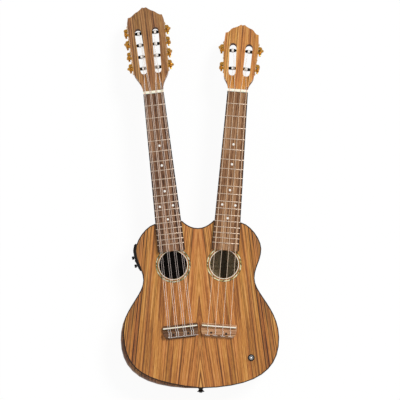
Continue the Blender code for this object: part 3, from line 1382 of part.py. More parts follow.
def make_switch(finish):
    """The neck selector's bush, collar and base, clamped round the soundboard."""
    place = Matrix.Translation((SWITCH_X, SWITCH_Y, BODY_DEPTH))
    under = -TOP_THICKNESS - SEAT
    ring = SWITCH_BUSH_RADIUS + SWITCH_BUSH_STEP
    bush = [(SWITCH_BUSH_RADIUS, under - OVERRUN), (SWITCH_BUSH_RADIUS, SEAT),
            (SWITCH_COLLAR_RADIUS, SEAT),
            (SWITCH_COLLAR_RADIUS, SWITCH_COLLAR_HEIGHT - SWITCH_COLLAR_CHAMFER),
            (SWITCH_COLLAR_RADIUS - SWITCH_COLLAR_CHAMFER, SWITCH_COLLAR_HEIGHT),
            (ring, SWITCH_COLLAR_HEIGHT), (ring, SWITCH_BUSH_HEIGHT)]
    switch = add_object("selector_switch", *turned(bush, SWITCH_SIDES), finish, place)
    wide, long = SWITCH_BASE_HALF_WIDTH, SWITCH_BASE_HALF_LENGTH
    base = box((-wide, -long, under - SWITCH_BASE_DEPTH), (wide, long, under))
    combine(switch, add_object("switch_base", *base, finish, place), 'UNION')
    bore = turned([(SWITCH_BORE_RADIUS, -SWITCH_BORE_DEPTH),
                   (SWITCH_BORE_RADIUS, SWITCH_BUSH_HEIGHT + OVERRUN)], SWITCH_BORE_SIDES)
    return combine(switch, add_object("switch_bore", *bore, finish, place), 'DIFFERENCE')


def make_lever(finish):
    """The selector's lever, which tips toward either neck about its own Y axis."""
    place = Matrix.Translation((SWITCH_X, SWITCH_Y, BODY_DEPTH - LEVER_PIVOT_DEPTH))
    ball = LEVER_BALL_RADIUS
    tip_start = LEVER_HEIGHT - LEVER_TIP_LENGTH
    profile = [(ball / 2, -ball), (ball, 0), (LEVER_NECK_RADIUS, ball),
               (LEVER_NECK_RADIUS, tip_start - LEVER_TAPER), (LEVER_TIP_RADIUS, tip_start),
               (LEVER_TIP_RADIUS, LEVER_HEIGHT - LEVER_CHAMFER),
               (LEVER_TIP_RADIUS - LEVER_CHAMFER, LEVER_HEIGHT)]
    return add_object("selector_lever", *turned(profile, LEVER_SIDES), finish, place)


def strap_frame(inwards=False):
    """At the tail on the side wall, with Z out of the body or into it."""
    spot = Matrix.Translation((0, BOTTOM_Y, BODY_DEPTH / 2))
    return spot @ Matrix.Rotation(-math.pi / 2 if inwards else math.pi / 2, 4, 'X')


def make_strap_button(finish):
    """The strap button and the screw that holds it in the tail block."""
    top = SEAT + STRAP_LENGTH
    profile = [(STRAP_SCREW_RADIUS, -STRAP_SCREW_LENGTH), (STRAP_SCREW_RADIUS, SEAT),
               (STRAP_BASE_RADIUS, SEAT), (STRAP_NECK_RADIUS, SEAT + STRAP_NECK_START),
               (STRAP_NECK_RADIUS, SEAT + STRAP_NECK_END),
               (STRAP_FLARE_RADIUS - STRAP_RIM_SOFT, top - STRAP_RIM_LOW),
               (STRAP_FLARE_RADIUS, top - STRAP_RIM_HIGH), (STRAP_FLARE_RADIUS - STRAP_CROWN, top),
               (STRAP_SCREW_HEAD_RADIUS, top),
               (STRAP_SCREW_HEAD_RADIUS - STRAP_SCREW_HEAD_SOFT, top + STRAP_SCREW_HEAD_HEIGHT)]
    return add_object("strap_button", *turned(profile, STRAP_SIDES), finish, strap_frame())


def main():
    """Build the whole instrument."""
    clear_scene()
    wood = material("striped walnut top", (0.46, 0.18, 0.045), 0.35)
    side_wood = material("striped walnut sides", (0.36, 0.14, 0.04), 0.35)
    neck_wood = material("neck wood", (0.30, 0.13, 0.05), 0.4)
    board_wood = material("fingerboard wood", (0.16, 0.08, 0.045), 0.45)
    dark_bridge = material("dark bridge wood", (0.10, 0.05, 0.03), 0.45)
    light_bridge = material("light bridge wood", (0.25, 0.11, 0.05), 0.45)
    bevel_wood = material("arm rest wood", (0.09, 0.03, 0.015), 0.4)
    bone = material("cream bone", (0.85, 0.80, 0.66), 0.4)
    gold = material("gold plate", (0.80, 0.50, 0.12), 0.25, 1.0)
    black = material("black plastic", (0.01, 0.01, 0.01), 0.35)
    chrome = material("chrome plate", (0.6, 0.6, 0.6), 0.15, 1.0)
    nylon = material("clear nylon", (0.75, 0.75, 0.72), 0.3)
    make_back(side_wood)
    make_ribs(side_wood)
    make_soundboard(wood)
    make_arm_rest(bevel_wood)
    finishes = {"gold": gold, "roller": black}
    for count, head in HEADS.items():
        make_neck(head, neck_wood)
        make_fingerboard(head, board_wood)
        make_nut(head, bone)
        make_bridge(head, dark_bridge if count == 8 else light_bridge)
        make_saddle(head, bone)
        for hand, word in ((-1, "left"), (1, "right")):
            make_plate(head, hand, f"tuner_plate_{count}_{word}", gold)
        make_tuners(head, 0 if count == 8 else 8, finishes)
        for (hand, row), string in string_of_roller(head).items():
            make_string(head, hand, row, string, nylon)
    make_preamp(black)
    make_knob("volume_knob", 0, black)
    make_knob("tone_knob", 1, black)
    make_switch(black)
    make_lever(chrome)
    make_strap_button(black)
    print(f"least gap between a winding's turns: {least_winding_gap() / MM:.2f} mm")


main()
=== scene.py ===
# %% [markdown]
# # Dressing a double-neck ukulele
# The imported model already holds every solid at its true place. This lesson loads it, gives each solid
# the finish of the real material, puts finer skins in the place of turned pieces, and adds what is too
# fine for a solid: strings with their turns, fret wires, rings of inlay, dots, veneers, edge lines and
# screws. Lengths are millimetres until a mesh is made, as a maker thinks in millimetres.

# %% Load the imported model
import json
import math
from functools import partial

import bmesh
import bpy
import numpy as np
from mathutils import Matrix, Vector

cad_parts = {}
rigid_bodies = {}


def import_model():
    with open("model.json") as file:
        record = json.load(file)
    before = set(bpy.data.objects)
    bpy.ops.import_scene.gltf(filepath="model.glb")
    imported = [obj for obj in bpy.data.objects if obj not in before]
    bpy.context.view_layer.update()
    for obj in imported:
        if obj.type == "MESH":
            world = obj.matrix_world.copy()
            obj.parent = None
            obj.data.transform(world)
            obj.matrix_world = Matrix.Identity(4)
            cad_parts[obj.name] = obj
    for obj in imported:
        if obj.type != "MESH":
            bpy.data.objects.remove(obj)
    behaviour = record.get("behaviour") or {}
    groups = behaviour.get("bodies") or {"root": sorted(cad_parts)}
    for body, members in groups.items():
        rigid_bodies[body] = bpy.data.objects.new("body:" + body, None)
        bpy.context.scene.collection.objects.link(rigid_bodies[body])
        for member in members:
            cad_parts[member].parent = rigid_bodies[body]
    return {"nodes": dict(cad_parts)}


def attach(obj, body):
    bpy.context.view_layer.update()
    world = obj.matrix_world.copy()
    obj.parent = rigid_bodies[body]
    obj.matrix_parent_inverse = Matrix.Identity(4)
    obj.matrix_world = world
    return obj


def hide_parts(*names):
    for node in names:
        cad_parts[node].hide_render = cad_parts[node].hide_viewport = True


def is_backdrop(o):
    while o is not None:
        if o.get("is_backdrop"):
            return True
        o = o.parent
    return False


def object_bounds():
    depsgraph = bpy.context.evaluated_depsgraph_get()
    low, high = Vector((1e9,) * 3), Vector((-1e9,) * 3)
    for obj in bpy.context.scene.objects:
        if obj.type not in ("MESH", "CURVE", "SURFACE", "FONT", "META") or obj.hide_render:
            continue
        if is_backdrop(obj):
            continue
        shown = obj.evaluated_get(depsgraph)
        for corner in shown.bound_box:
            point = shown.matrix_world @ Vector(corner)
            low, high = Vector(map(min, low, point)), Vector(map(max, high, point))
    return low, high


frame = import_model()
cad_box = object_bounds()
nodes = frame["nodes"]
MM = 0.001
print("solids loaded:", len(nodes))

# %% [markdown]
# ## The sizes that the added pieces share with the solids
# Strings, frets and inlays have to land on wood that is already there, so the main measures are
# written once here: the scale length, where the necks stand and how they splay, and how the heads
# lie back. Everything that is added later is worked out from them.

# %% Shared sizes, in millimetres and radians
SCALE_LENGTH = 433.0
NECK_SPLAY = math.radians(5.5)
SADDLE_X = 35.65
SADDLE_Y = 21.9
TOP_Z = 70.0
PLATE_THICKNESS = 2.5
SEAT = 0.3
NUT_THICKNESS = 5.0
NUT_WIDTH = 37.5
BOARD_END_WIDTH = 49.8
BOARD_TOP = 5.8
SOUND_HOLE_FROM_NUT = 318.7
SOUND_HOLE_RADIUS = 25.7
HEAD_TILT = math.radians(12)
HEAD_FACE_RISE = 4.0
NECKS = {8: -1, 4: 1}
print("degrees between the necks:", round(math.degrees(2 * NECK_SPLAY), 1))

# %% [markdown]
# ## Places as matrices
# A neck's frame stands under its nut on the top of the body, with Y up the neck. A head's frame
# starts behind the nut and lies back by the tilt. A point is carried from one to the other by a four
# by four matrix, and a whole array of points goes through it at once.

# %% Matrices for moves and turns
def shift(x, y, z):
    """A move: the last column of the matrix holds the distance."""
    matrix = np.eye(4)
    matrix[:3, 3] = x, y, z
    return matrix


def turn(axis, angle):
    """A turn about X, Y or Z (0, 1 or 2) by the sine and cosine of the angle."""
    first, second = ((1, 2), (2, 0), (0, 1))[axis]
    matrix = np.eye(4)
    matrix[first, first] = matrix[second, second] = math.cos(angle)
    matrix[second, first] = math.sin(angle)
    matrix[first, second] = -math.sin(angle)
    return matrix


def placed(matrix, points):
    """Points carried by a matrix: turned by its first three columns and moved by the last."""
    return np.asarray(points, float) @ matrix[:3, :3].T + matrix[:3, 3]


def neck_frame(strings):
    """Under the nut, on the plane of the top, with Y up the neck."""
    side = NECKS[strings]
    return shift(side * SADDLE_X, SADDLE_Y, TOP_Z) @ turn(2, -side * NECK_SPLAY) @ shift(0, SCALE_LENGTH, 0)


def head_frame(strings):
    """On the head's face behind the nut, with Y up the face and Z out of it."""
    behind_nut = shift(0, NUT_THICKNESS / 2 + SEAT, HEAD_FACE_RISE)
    return neck_frame(strings) @ behind_nut @ turn(0, -HEAD_TILT)


for strings in NECKS:
    print("nut of the", strings, "string neck at", np.round(neck_frame(strings)[:3, 3], 1))

# %% [markdown]
# ## Colour and nodes
# Colours are written as the sRGB hex values that an artist reads off a sample. Blender's shaders
# reckon in linear light, so one function turns them. A second adds a node, sets it and links it,
# which keeps each material as short as a recipe. A Mapping node can carry a point into any frame, so
# each pattern is drawn in its own piece's frame: X across the grain, Y along it, Z out of the face.

# %% Helpers for materials
def paint(code):
    """sRGB to linear: below 0.04045 divide by 12.92, above it raise (c + 0.055) / 1.055 to 2.4."""
    channels = np.array([int(code[at:at + 2], 16) for at in (0, 2, 4)]) / 255
    linear = np.where(channels <= 0.04045, channels / 12.92, ((channels + 0.055) / 1.055) ** 2.4)
    return (*linear.tolist(), 1.0)


def fill_sockets(tree, node, inputs):
    """Gives each socket a value, or a link from a socket or from a node's first output in use."""
    for socket, value in inputs.items():
        if isinstance(value, bpy.types.Node):
            value = next(output for output in value.outputs if output.enabled)
        if isinstance(value, bpy.types.NodeSocket):
            tree.links.new(value, node.inputs[socket])
        else:
            node.inputs[socket].default_value = value


def add_node(tree, kind, inputs=None, stops=(), **settings):
    """Adds a node with its settings, fills its sockets, and places the stops of a colour ramp."""
    node = tree.nodes.new("ShaderNode" + kind)
    for name, value in settings.items():
        setattr(node, name, value)
    fill_sockets(tree, node, inputs or {})
    while stops and len(node.color_ramp.elements) < len(stops):
        node.color_ramp.elements.new(0.5)
    for (place, code), element in zip(stops, node.color_ramp.elements if stops else ()):
        element.position = place
        element.color = paint(code)
    return node


def shader_of(material):
    """The shader of a material."""
    return material.node_tree.nodes["Principled BSDF"]


def start_finish(name, **sockets):
    """A new material with the constants of its shader set, and a short name for adding its nodes."""
    material = bpy.data.materials.new(name)
    material.use_nodes = True
    for socket, value in sockets.items():
        shader_of(material).inputs[socket.replace("_", " ")].default_value = value
    return material, partial(add_node, material.node_tree)


def connect(material, **inputs):
    """Links what the nodes work out to the shader's sockets."""
    named = {socket.replace("_", " "): value for socket, value in inputs.items()}
    fill_sockets(material.node_tree, shader_of(material), named)


def feeding(material, socket):
    """What feeds a socket of the shader so far."""
    return shader_of(material).inputs[socket].links[0].from_socket


print("white is", paint("FFFFFF"))

# %% Places and patterns
FACTOR, BELOW, ABOVE = 0, 6, 7
NOISE_ROUGHNESS = 0.6


def grain_place(node, own_frame):
    """Object coordinates in millimetres, carried into a frame by the inverse of its matrix."""
    inverse = np.linalg.inv(own_frame)
    turned = Matrix(inverse[:3, :3].tolist()).to_euler()
    source = node("TexCoord").outputs["Object"]
    mapping = node("Mapping", {"Vector": source, "Location": inverse[:3, 3].tolist(),
                               "Rotation": turned, "Scale": (1 / MM, 1 / MM, 1 / MM)})
    return node("SeparateXYZ", {0: mapping}).outputs


def marks(node, place, width, length, detail=2.0):
    """Noise whose marks are about width millimetres across the grain and length along it."""
    scaled = node("Mapping", {"Vector": place, "Scale": (1 / width, 1 / length, 1 / width)})
    return node("TexNoise", {"Vector": scaled, "Scale": 1.0, "Detail": detail,
                             "Roughness": NOISE_ROUGHNESS})


def region(node, *limits, most=1.0):
    """Most where each value is past its second limit and none before its first: the steps' product."""
    share = most
    for value, none_at, full_at in limits:
        step = node("MapRange", {0: value, 1: none_at, 2: full_at})
        share = node("Math", {0: share, 1: step}, operation="MULTIPLY")
    return share


def lay_over(material, share, code):
    """Another colour over the pattern where share is one: a Mix between pattern and shader."""
    mix = add_node(material.node_tree, "Mix", {FACTOR: share, BELOW: feeding(material, "Base Color"),
                                               ABOVE: paint(code)}, data_type="RGBA")
    connect(material, Base_Color=mix)


def leave_raw(material, share):
    """Wood without lacquer: the roughness rises to a share where that is the higher."""
    rougher = add_node(material.node_tree, "Math", {0: feeding(material, "Roughness"), 1: share},
                       operation="MAXIMUM")
    connect(material, Roughness=rougher)


def wear(material, noise, dull, polished, dent, strength=1.0, low=0.3, high=0.7):
    """Roughness that falls from dull to polished as a noise rises, and dents of a depth in mm."""
    node = partial(add_node, material.node_tree)
    rough = node("MapRange", {0: noise, 1: low, 2: high, 3: dull, 4: polished})
    dents = node("Bump", {"Height": noise, "Strength": strength, "Distance": dent * MM})
    connect(material, Roughness=rough, Normal=dents)


print("sockets of a colour Mix:", FACTOR, BELOW, ABOVE)

# %% [markdown]
# ## Lacquered striped wood
# The top, back, sides and head faces are thin veneer of an open-grained, walnut-like wood under a
# satin lacquer. The eye sees orange brown with umber lines, a soft even shine, and pores that still
# dent the film a little. Sliced veneer shows the growth rings as long stripes: wide bands of tone,
# narrow lines in them, and pores that are short dark dashes. Each is the same noise, squeezed
# across the grain and drawn out along it. The finest pores are narrower than a pixel of the picture,
# so they are drawn about a millimetre wide. Book-matched halves mirror each other about the joint. In
# solid wood the rings stand at a slant, so the ends of a neck or an arm rest show lines as well.

# %% Striped wood
WANDER_WIDTH, WANDER_LENGTH, WANDER_REACH = 70.0, 300.0, 9.0
BAND_LENGTH, LINE_LENGTH, LINE_DETAIL = 420.0, 150.0, 3.0
PORE_WIDTH, PORE_LENGTH = 1.0, 12.0
BANDS_SHARE, LINES_SHARE, PORES_SHARE = 0.22, 0.58, 0.2
TONE_STOPS = (0.4, 0.465, 0.53, 0.61)
HUE_WIDTH, HUE_LENGTH, HUE_FROM, HUE_TO, REDDER, YELLOWER = 9.0, 200.0, 0.35, 0.65, 0.493, 0.506
VEIN_WIDTH, VEIN_LENGTH, VEIN_FROM, VEIN_FULL = 2.1, 500.0, 0.57, 0.66
FADE_WIDTH, FADE_LENGTH, FADE_FROM, FADE_TO, FADE_LEAST = 12.0, 90.0, 0.3, 0.5, 0.3
STREAK_CORE, STREAK_END = 0.25, 0.75
PORE_DENT, PORE_STRENGTH, DULLER, GLOSSIER = 0.1, 0.15, 0.1, 0.05


def striped_wood(name, tones, line, own_frame, book_lean=None, streaks=(), band_width=16.0,
                 line_width=1.8, line_share=0.6, roughness=0.38, up_grain=1.0, bend=0.0, slant=0.0,
                 drift=0.0):
    """Bands, lines and pores added up and coloured, with dark veins where a fourth noise is high."""
    material, node = start_finish(name, IOR=1.5, Specular_IOR_Level=0.25, Coat_Weight=0.08,
                                  Coat_Roughness=0.2)
    across, along, up = grain_place(node, own_frame)
    ahead = node("Math", {0: along, 1: 0.0}, operation="MAXIMUM")
    bent = node("Math", {0: ahead, 1: bend, 2: up}, operation="MULTIPLY_ADD")
    rings = node("VectorRotate", {"Vector": node("CombineXYZ", {0: across, 1: along, 2: bent}),
                                  "Angle": slant}, rotation_type="Y_AXIS")
    across, along, up = node("SeparateXYZ", {0: rings}).outputs
    up = node("Math", {0: up, 1: up_grain}, operation="MULTIPLY")
    if book_lean is not None:
        folded = node("Math", {0: across}, operation="ABSOLUTE")
        across = node("Math", {0: along, 1: book_lean, 2: folded}, operation="MULTIPLY_ADD")
    straight = node("CombineXYZ", {0: across, 1: along, 2: up})
    wander = marks(node, straight, WANDER_WIDTH, WANDER_LENGTH, 0.0)
    across = node("Math", {0: wander, 1: WANDER_REACH, 2: across}, operation="MULTIPLY_ADD")
    place = node("CombineXYZ", {0: across, 1: along, 2: up})
    pores = marks(node, place, PORE_WIDTH, PORE_LENGTH)
    tone = 0.0
    for pattern, share in ((marks(node, place, band_width, BAND_LENGTH), BANDS_SHARE),
                           (marks(node, place, line_width, LINE_LENGTH, LINE_DETAIL), LINES_SHARE),
                           (pores, PORES_SHARE), (along, drift)):
        tone = node("Math", {0: pattern, 1: share, 2: tone}, operation="MULTIPLY_ADD")
    warmth = marks(node, place, HUE_WIDTH, HUE_LENGTH)
    hue = node("MapRange", {0: warmth, 1: HUE_FROM, 2: HUE_TO, 3: REDDER, 4: YELLOWER})
    ramp = node("ValToRGB", {0: tone}, tuple(zip(TONE_STOPS, tones)))
    connect(material, Base_Color=node("HueSaturation", {"Hue": hue, "Color": ramp}))
    veins = marks(node, place, VEIN_WIDTH, VEIN_LENGTH)
    shadow = node("MapRange", {0: veins, 1: VEIN_FROM, 2: VEIN_FULL, 4: line_share})
    for streak_at, width, strength in streaks:
        offset = node("Math", {0: across, 1: streak_at + WANDER_REACH / 2}, operation="SUBTRACT")
        distance = node("Math", {0: offset}, operation="ABSOLUTE")
        streak = region(node, (distance, STREAK_END * width, STREAK_CORE * width), most=strength)
        shadow = node("Math", {0: shadow, 1: streak}, operation="MAXIMUM")
    fading = marks(node, place, FADE_WIDTH, FADE_LENGTH)
    kept = node("MapRange", {0: fading, 1: FADE_FROM, 2: FADE_TO, 3: FADE_LEAST})
    lay_over(material, node("Math", {0: shadow, 1: kept}, operation="MULTIPLY"), line)
    wear(material, pores, roughness + DULLER, roughness - GLOSSIER, PORE_DENT, PORE_STRENGTH)
    return material


print("stops of the tones:", TONE_STOPS)

# %% The woods of the body
BOOK_LEAN = 0.11
TOP_DRIFT = 0.00015
RING_SLANT = 0.6
SOLID_GRAIN = 0.08
ARM_GRAIN_TURN = -0.9
TOP_STREAKS = ((31.5, 2.0, 0.8), (57.5, 1.8, 0.6), (98.0, 2.4, 0.6), (113.5, 2.4, 0.9),
               (119.8, 2.3, 1.0), (127.0, 2.2, 0.9), (133.5, 2.2, 0.8))
body = np.eye(4)
top_wood = striped_wood("lacquered_striped_top", ("7C4722", "B27135", "CC8944", "E5A965"), "3F210F",
                        body, BOOK_LEAN, TOP_STREAKS, drift=TOP_DRIFT)
back_wood = striped_wood("lacquered_striped_back", ("633818", "8E5524", "A4682D", "BD8343"), "341B0C",
                         body, BOOK_LEAN)
side_wood = striped_wood("lacquered_bent_side", ("633818", "8B5426", "A0662F", "B98044"), "341B0C",
                         turn(1, math.pi / 2), line_width=3.0, up_grain=0.05)
arm_wood = striped_wood("lacquered_dark_arm_rest", ("41230F", "643D1F", "7C4E2A", "9C6A3D"), "2A1509",
                        turn(2, ARM_GRAIN_TURN), roughness=0.34, slant=RING_SLANT, up_grain=SOLID_GRAIN)
print("woods of the body:", len(bpy.data.materials))

# %% [markdown]
# ## Edges of the plates
# The edges of the top and the back are stained dark, like the line round the top. The same solid
# holds a plate's face and its edge, so the material tells them apart by the way a face looks: where
# the normal lies level and the height is within the plate's thickness, the edge's colour covers it.

# %% Dark edge round a plate
EDGE_DARK = "2A190E"
LEANING, UPRIGHT = 0.6, 0.4


def darken_edge(wood, thickness):
    """The edge colour where a face of the plate is upright, below a height of thickness."""
    node = partial(add_node, wood.node_tree)
    steep = node("SeparateXYZ", {0: node("TexCoord").outputs["Normal"]}).outputs[2]
    level = node("Math", {0: steep}, operation="ABSOLUTE")
    low = node("Math", {0: grain_place(node, body)[2], 1: thickness}, operation="LESS_THAN")
    lay_over(wood, region(node, (level, LEANING, UPRIGHT), (low, 0.0, 1.0)), EDGE_DARK)


darken_edge(top_wood, TOP_Z)
print("nodes in the top's material:", len(top_wood.node_tree.nodes))

# %% [markdown]
# ## Inside the body
# The back's inner face is bare wood without lacquer, olive brown and matt. It is part of the same
# solid as the lacquered outside, so the height above the outer face tells them apart. A strip of
# painted shadow, darker than the wood, lies along the grain under the sound hole of the four strings.
# The inside under the eight strings is seen as nearly black, so that half is painted with shade.

# %% Inside of the back
INSIDE_FROM, INSIDE_BLEND = 1.2, 0.2
SHADOW_BAND_HALF, SHADOW_BAND_SHARE = 6.0, 0.75
SHADOW_BAND_X = 46.0
HALF_BLEND = 0.5
EDGE_PAST = 0.1
BARE_WOOD, SHADED_HALF_COLOUR, SHADOW_BAND_COLOUR = "F0DCAE", "24160F", "2B2012"
node = partial(add_node, back_wood.node_tree)
place = grain_place(node, body)
across, up = place[0], place[2]
inside = (up, INSIDE_FROM, INSIDE_FROM + INSIDE_BLEND)
from_shadow_band = node("Math", {0: across, 1: SHADOW_BAND_X, 2: SHADOW_BAND_HALF}, operation="COMPARE")
lay_over(back_wood, region(node, inside), BARE_WOOD)
# Painted shade: the inside under the eight strings is darkened nearly to black.
lay_over(back_wood, region(node, inside, (across, HALF_BLEND, -HALF_BLEND)), SHADED_HALF_COLOUR)
# Painted shadow: a dark strip along the grain under the sound hole of the four strings.
lay_over(back_wood, region(node, inside, (from_shadow_band, 0.0, 1.0), most=SHADOW_BAND_SHARE), SHADOW_BAND_COLOUR)
leave_raw(back_wood, region(node, inside))
darken_edge(back_wood, PLATE_THICKNESS + EDGE_PAST)
print("nodes in the back's material:", len(back_wood.node_tree.nodes))

# %% [markdown]
# ## Neck and head woods
# The necks are plain straight-grained hardwood, whose grain runs the neck's own way. The head faces
# carry the striped veneer, a little darker towards the tip. The ramps cut for the strings show fresh
# wood, and the walls of the slots are raw and matt. All three are told apart by where a point lies in
# the head's frame.

# %% Woods of the necks
HEAD_TONES = {8: ("4C2C16", "8F5F34", "B27D48", "D3A26C"), 4: ("7C461A", "BF7936", "DA9647", "F6C47C")}
HEAD_LINES = {8: "35200F", 4: "63380F"}
TIP_FROM, TIP_FULL, TIP_SHADE = 50.0, 120.0, 0.2
RAMP_HALF, RAMP_LENGTH, RAMP_DEPTH, RAMP_SHARE = 17.6, 42.0, 9.0, 0.7
RAW_HALF, HEAD_THICKNESS = 23.5, 16.5
RAW_UNDER, RAW_OVER = (-0.4, -0.5), (0.2 - HEAD_THICKNESS, 0.4 - HEAD_THICKNESS)
WALL_BLEND = 0.2
neck_wood, head_veneer = {}, {}
for strings in NECKS:
    wood = neck_wood[strings] = striped_wood(
        f"satin_neck_wood_{strings}", ("57341B", "7B4D29", "8C5A32", "A87548"), "4A2B16",
        neck_frame(strings), line_share=0.2, bend=math.tan(HEAD_TILT), slant=RING_SLANT,
        up_grain=SOLID_GRAIN)
    veneer = head_veneer[strings] = striped_wood(
        f"lacquered_head_veneer_{strings}", HEAD_TONES[strings], HEAD_LINES[strings],
        head_frame(strings), band_width=8.0, line_width=2.0, line_share=0.9)
    node = partial(add_node, veneer.node_tree)
    along = grain_place(node, head_frame(strings))[1]
    lay_over(veneer, region(node, (along, TIP_FROM, TIP_FULL), most=TIP_SHADE), HEAD_LINES[strings])
    node = partial(add_node, wood.node_tree)
    across, along, up = grain_place(node, head_frame(strings))
    away = node("Math", {0: across}, operation="ABSOLUTE")
    ramp = region(node, (away, RAMP_HALF + WALL_BLEND, RAMP_HALF), (along, 0.0, 1.0),
                  (along, RAMP_LENGTH, RAMP_LENGTH - 1), (up, -RAMP_DEPTH, 1 - RAMP_DEPTH), most=RAMP_SHARE)
    lay_over(wood, ramp, HEAD_TONES[strings][2])
    leave_raw(wood, region(node, (away, RAW_HALF + WALL_BLEND, RAW_HALF), (along, 1.0, 2.0),
                           (up, *RAW_UNDER), (up, *RAW_OVER)))
print("neck woods made for", sorted(neck_wood))

# %% [markdown]
# ## Fingerboards and bridges
# The fingerboards are open-grained rosewood, oiled rather than lacquered: a dry, streaky purple brown
# that hardly shines. Each is darker in a narrow band along both edges, so the material darkens where
# the distance from the middle comes within the band's width of the board's tapering edge. The bridges
# are of the same wood, one dark and one light, with the grain across the body.

# %% Rosewood
BOARD_TONES = {8: ("321A10", "7B563C", "B08666"), 4: ("593620", "956B49", "BF946C")}
BOARD_STOPS = (0.39, 0.5, 0.6)
DRIFT_WIDTH, DRIFT_LENGTH, DRIFT_REACH = 40.0, 110.0, 7.0
STREAK_WIDTH, BOARD_PORE_LENGTH, STREAK_SHARE = 3.4, 9.0, 0.72
EDGE_BAND, EDGE_BAND_BLEND, EDGE_BAND_DARK = 1.7, 0.15, "21140C"


def board_half_width(from_nut):
    """Half width of a fingerboard: a straight taper from the nut to the sound hole's edge."""
    share = from_nut / (SOUND_HOLE_FROM_NUT - SOUND_HOLE_RADIUS)
    return (NUT_WIDTH + share * (BOARD_END_WIDTH - NUT_WIDTH)) / 2


def rosewood(name, tones, strings):
    """Oiled rosewood with long streaks, darker in a narrow band along the board's edges."""
    material, node = start_finish(name, IOR=1.47, Specular_IOR_Level=0.25)
    across, along, up = grain_place(node, neck_frame(strings))
    wander = marks(node, node("CombineXYZ", {0: across, 1: along, 2: up}), DRIFT_WIDTH, DRIFT_LENGTH)
    drifting = node("Math", {0: wander, 1: DRIFT_REACH, 2: across}, operation="MULTIPLY_ADD")
    place = node("CombineXYZ", {0: drifting, 1: along, 2: up})
    pores = marks(node, place, PORE_WIDTH, BOARD_PORE_LENGTH)
    tone = 0.0
    for pattern, share in ((marks(node, place, STREAK_WIDTH, LINE_LENGTH, LINE_DETAIL), STREAK_SHARE),
                           (pores, 1 - STREAK_SHARE)):
        tone = node("Math", {0: pattern, 1: share, 2: tone}, operation="MULTIPLY_ADD")
    connect(material, Base_Color=node("ValToRGB", {0: tone}, tuple(zip(BOARD_STOPS, tones))))
    taper = board_half_width(1.0) - board_half_width(0.0)
    middle_out = node("Math", {0: across}, operation="ABSOLUTE")
    from_taper = node("Math", {0: along, 1: taper, 2: middle_out}, operation="MULTIPLY_ADD")
    inner = board_half_width(0.0) - EDGE_BAND
    # Darker in a narrow band along both edges of the board.
    bound = region(node, (from_taper, inner - EDGE_BAND_BLEND, inner + EDGE_BAND_BLEND))
    lay_over(material, bound, EDGE_BAND_DARK)
    wear(material, pores, dull=0.65, polished=0.48, dent=PORE_DENT, strength=0.25)
    return material


board_wood = {strings: rosewood(f"oiled_rosewood_{strings}", BOARD_TONES[strings], strings)
              for strings in NECKS}
bridge_wood = {strings: striped_wood(name, tones, line, turn(2, math.pi / 2), line_width=1.6,
                                     band_width=9.0, roughness=0.5)
               for strings, name, tones, line in (
                   (8, "oiled_dark_rosewood", ("3A2212", "5F3F27", "7B563A", "96704F"), "2A170C"),
                   (4, "oiled_light_rosewood", ("7E5030", "AE8058", "C4956B", "DDB089"), "5A351D"))}
print("boards and bridges made for", sorted(board_wood))

# %% [markdown]
# ## Plated metal, moulded plastic and nylon
# Gold plate over cast brass is a true metal: all its colour is in the reflection. The castings are
# pressed with a fine ornament, drawn here as a noise of about a millimetre, and wherever a point
# can't see the open sky, as in the corners between worm, gear and plate, painted shade darkens the
# gold nearly to black. The slight haze of the polish keeps them from being mirrors. Frets are nickel
# silver, worn to a grey sheen. The moulded black parts have a spark-eroded texture with a grain of a
# few tenths of a millimetre, drawn at half a millimetre. Nut and saddles are cream urea, which lets a
# little light in.

# %% Metals and plastics
SPECK_FROM, SPECK_TO = 0.38, 0.62


def speckled(name, dark, light, roughness, grain, depth=0.02, spread=0.08, **sockets):
    """An even finish: one fine noise moves colour, roughness and surface by a little."""
    material, node = start_finish(name, **sockets)
    noise = marks(node, node("CombineXYZ", dict(enumerate(grain_place(node, body)))), grain, grain)
    connect(material, Base_Color=node("ValToRGB", {0: noise}, ((SPECK_FROM, dark), (SPECK_TO, light))))
    wear(material, noise, roughness + spread / 2, roughness - spread / 2, depth, low=0.35, high=0.65)
    return material


GOLD_HOLLOW, GOLD_CREST, GOLD_RECESS_SHADE = "9F7026", "C89443", "0E0703"
RECESS, SHUT_IN, OPEN, RECESS_SHADE_SHARE = 2.5, 0.68, 1.0, 0.97
gold = speckled("polished_gold_plate", GOLD_HOLLOW, GOLD_CREST, roughness=0.22, grain=1.2, depth=0.05,
                Metallic=1.0)
node = partial(add_node, gold.node_tree)
open_sky = node("AmbientOcclusion", {"Distance": RECESS * MM}, samples=8, only_local=True).outputs["AO"]
# Painted shade: the gold darkens nearly to black where a point can't see the open sky.
lay_over(gold, region(node, (open_sky, OPEN, SHUT_IN), most=RECESS_SHADE_SHARE), GOLD_RECESS_SHADE)
nickel = speckled("worn_nickel_silver", "B5A18E", "D2BEAA", roughness=0.42, grain=4.0, depth=0.004,
                  Metallic=1.0)
chrome = speckled("polished_chrome_plate", "DCDEE0", "F2F3F4", roughness=0.1, grain=4.0, depth=0.002,
                  Metallic=1.0)
cream = speckled("polished_cream_urea", "FBF1D8", "FFF8E8", roughness=0.32, grain=5.0, depth=0.004,
                 IOR=1.5, Subsurface_Weight=0.1, Subsurface_Scale=0.001)
black_moulding = speckled("moulded_black_abs", "080808", "121212", roughness=0.42, grain=0.5, depth=0.02,
                          Specular_IOR_Level=0.25)
dark_window = speckled("smoked_acrylic_window", "0A1012", "121C1E", roughness=0.08, grain=6.0, depth=0.001,
                       IOR=1.49)
grey_rubber = speckled("moulded_grey_rubber", "3C3E40", "4A4C4E", roughness=0.6, grain=0.6, depth=0.02,
                       Specular_IOR_Level=0.3)
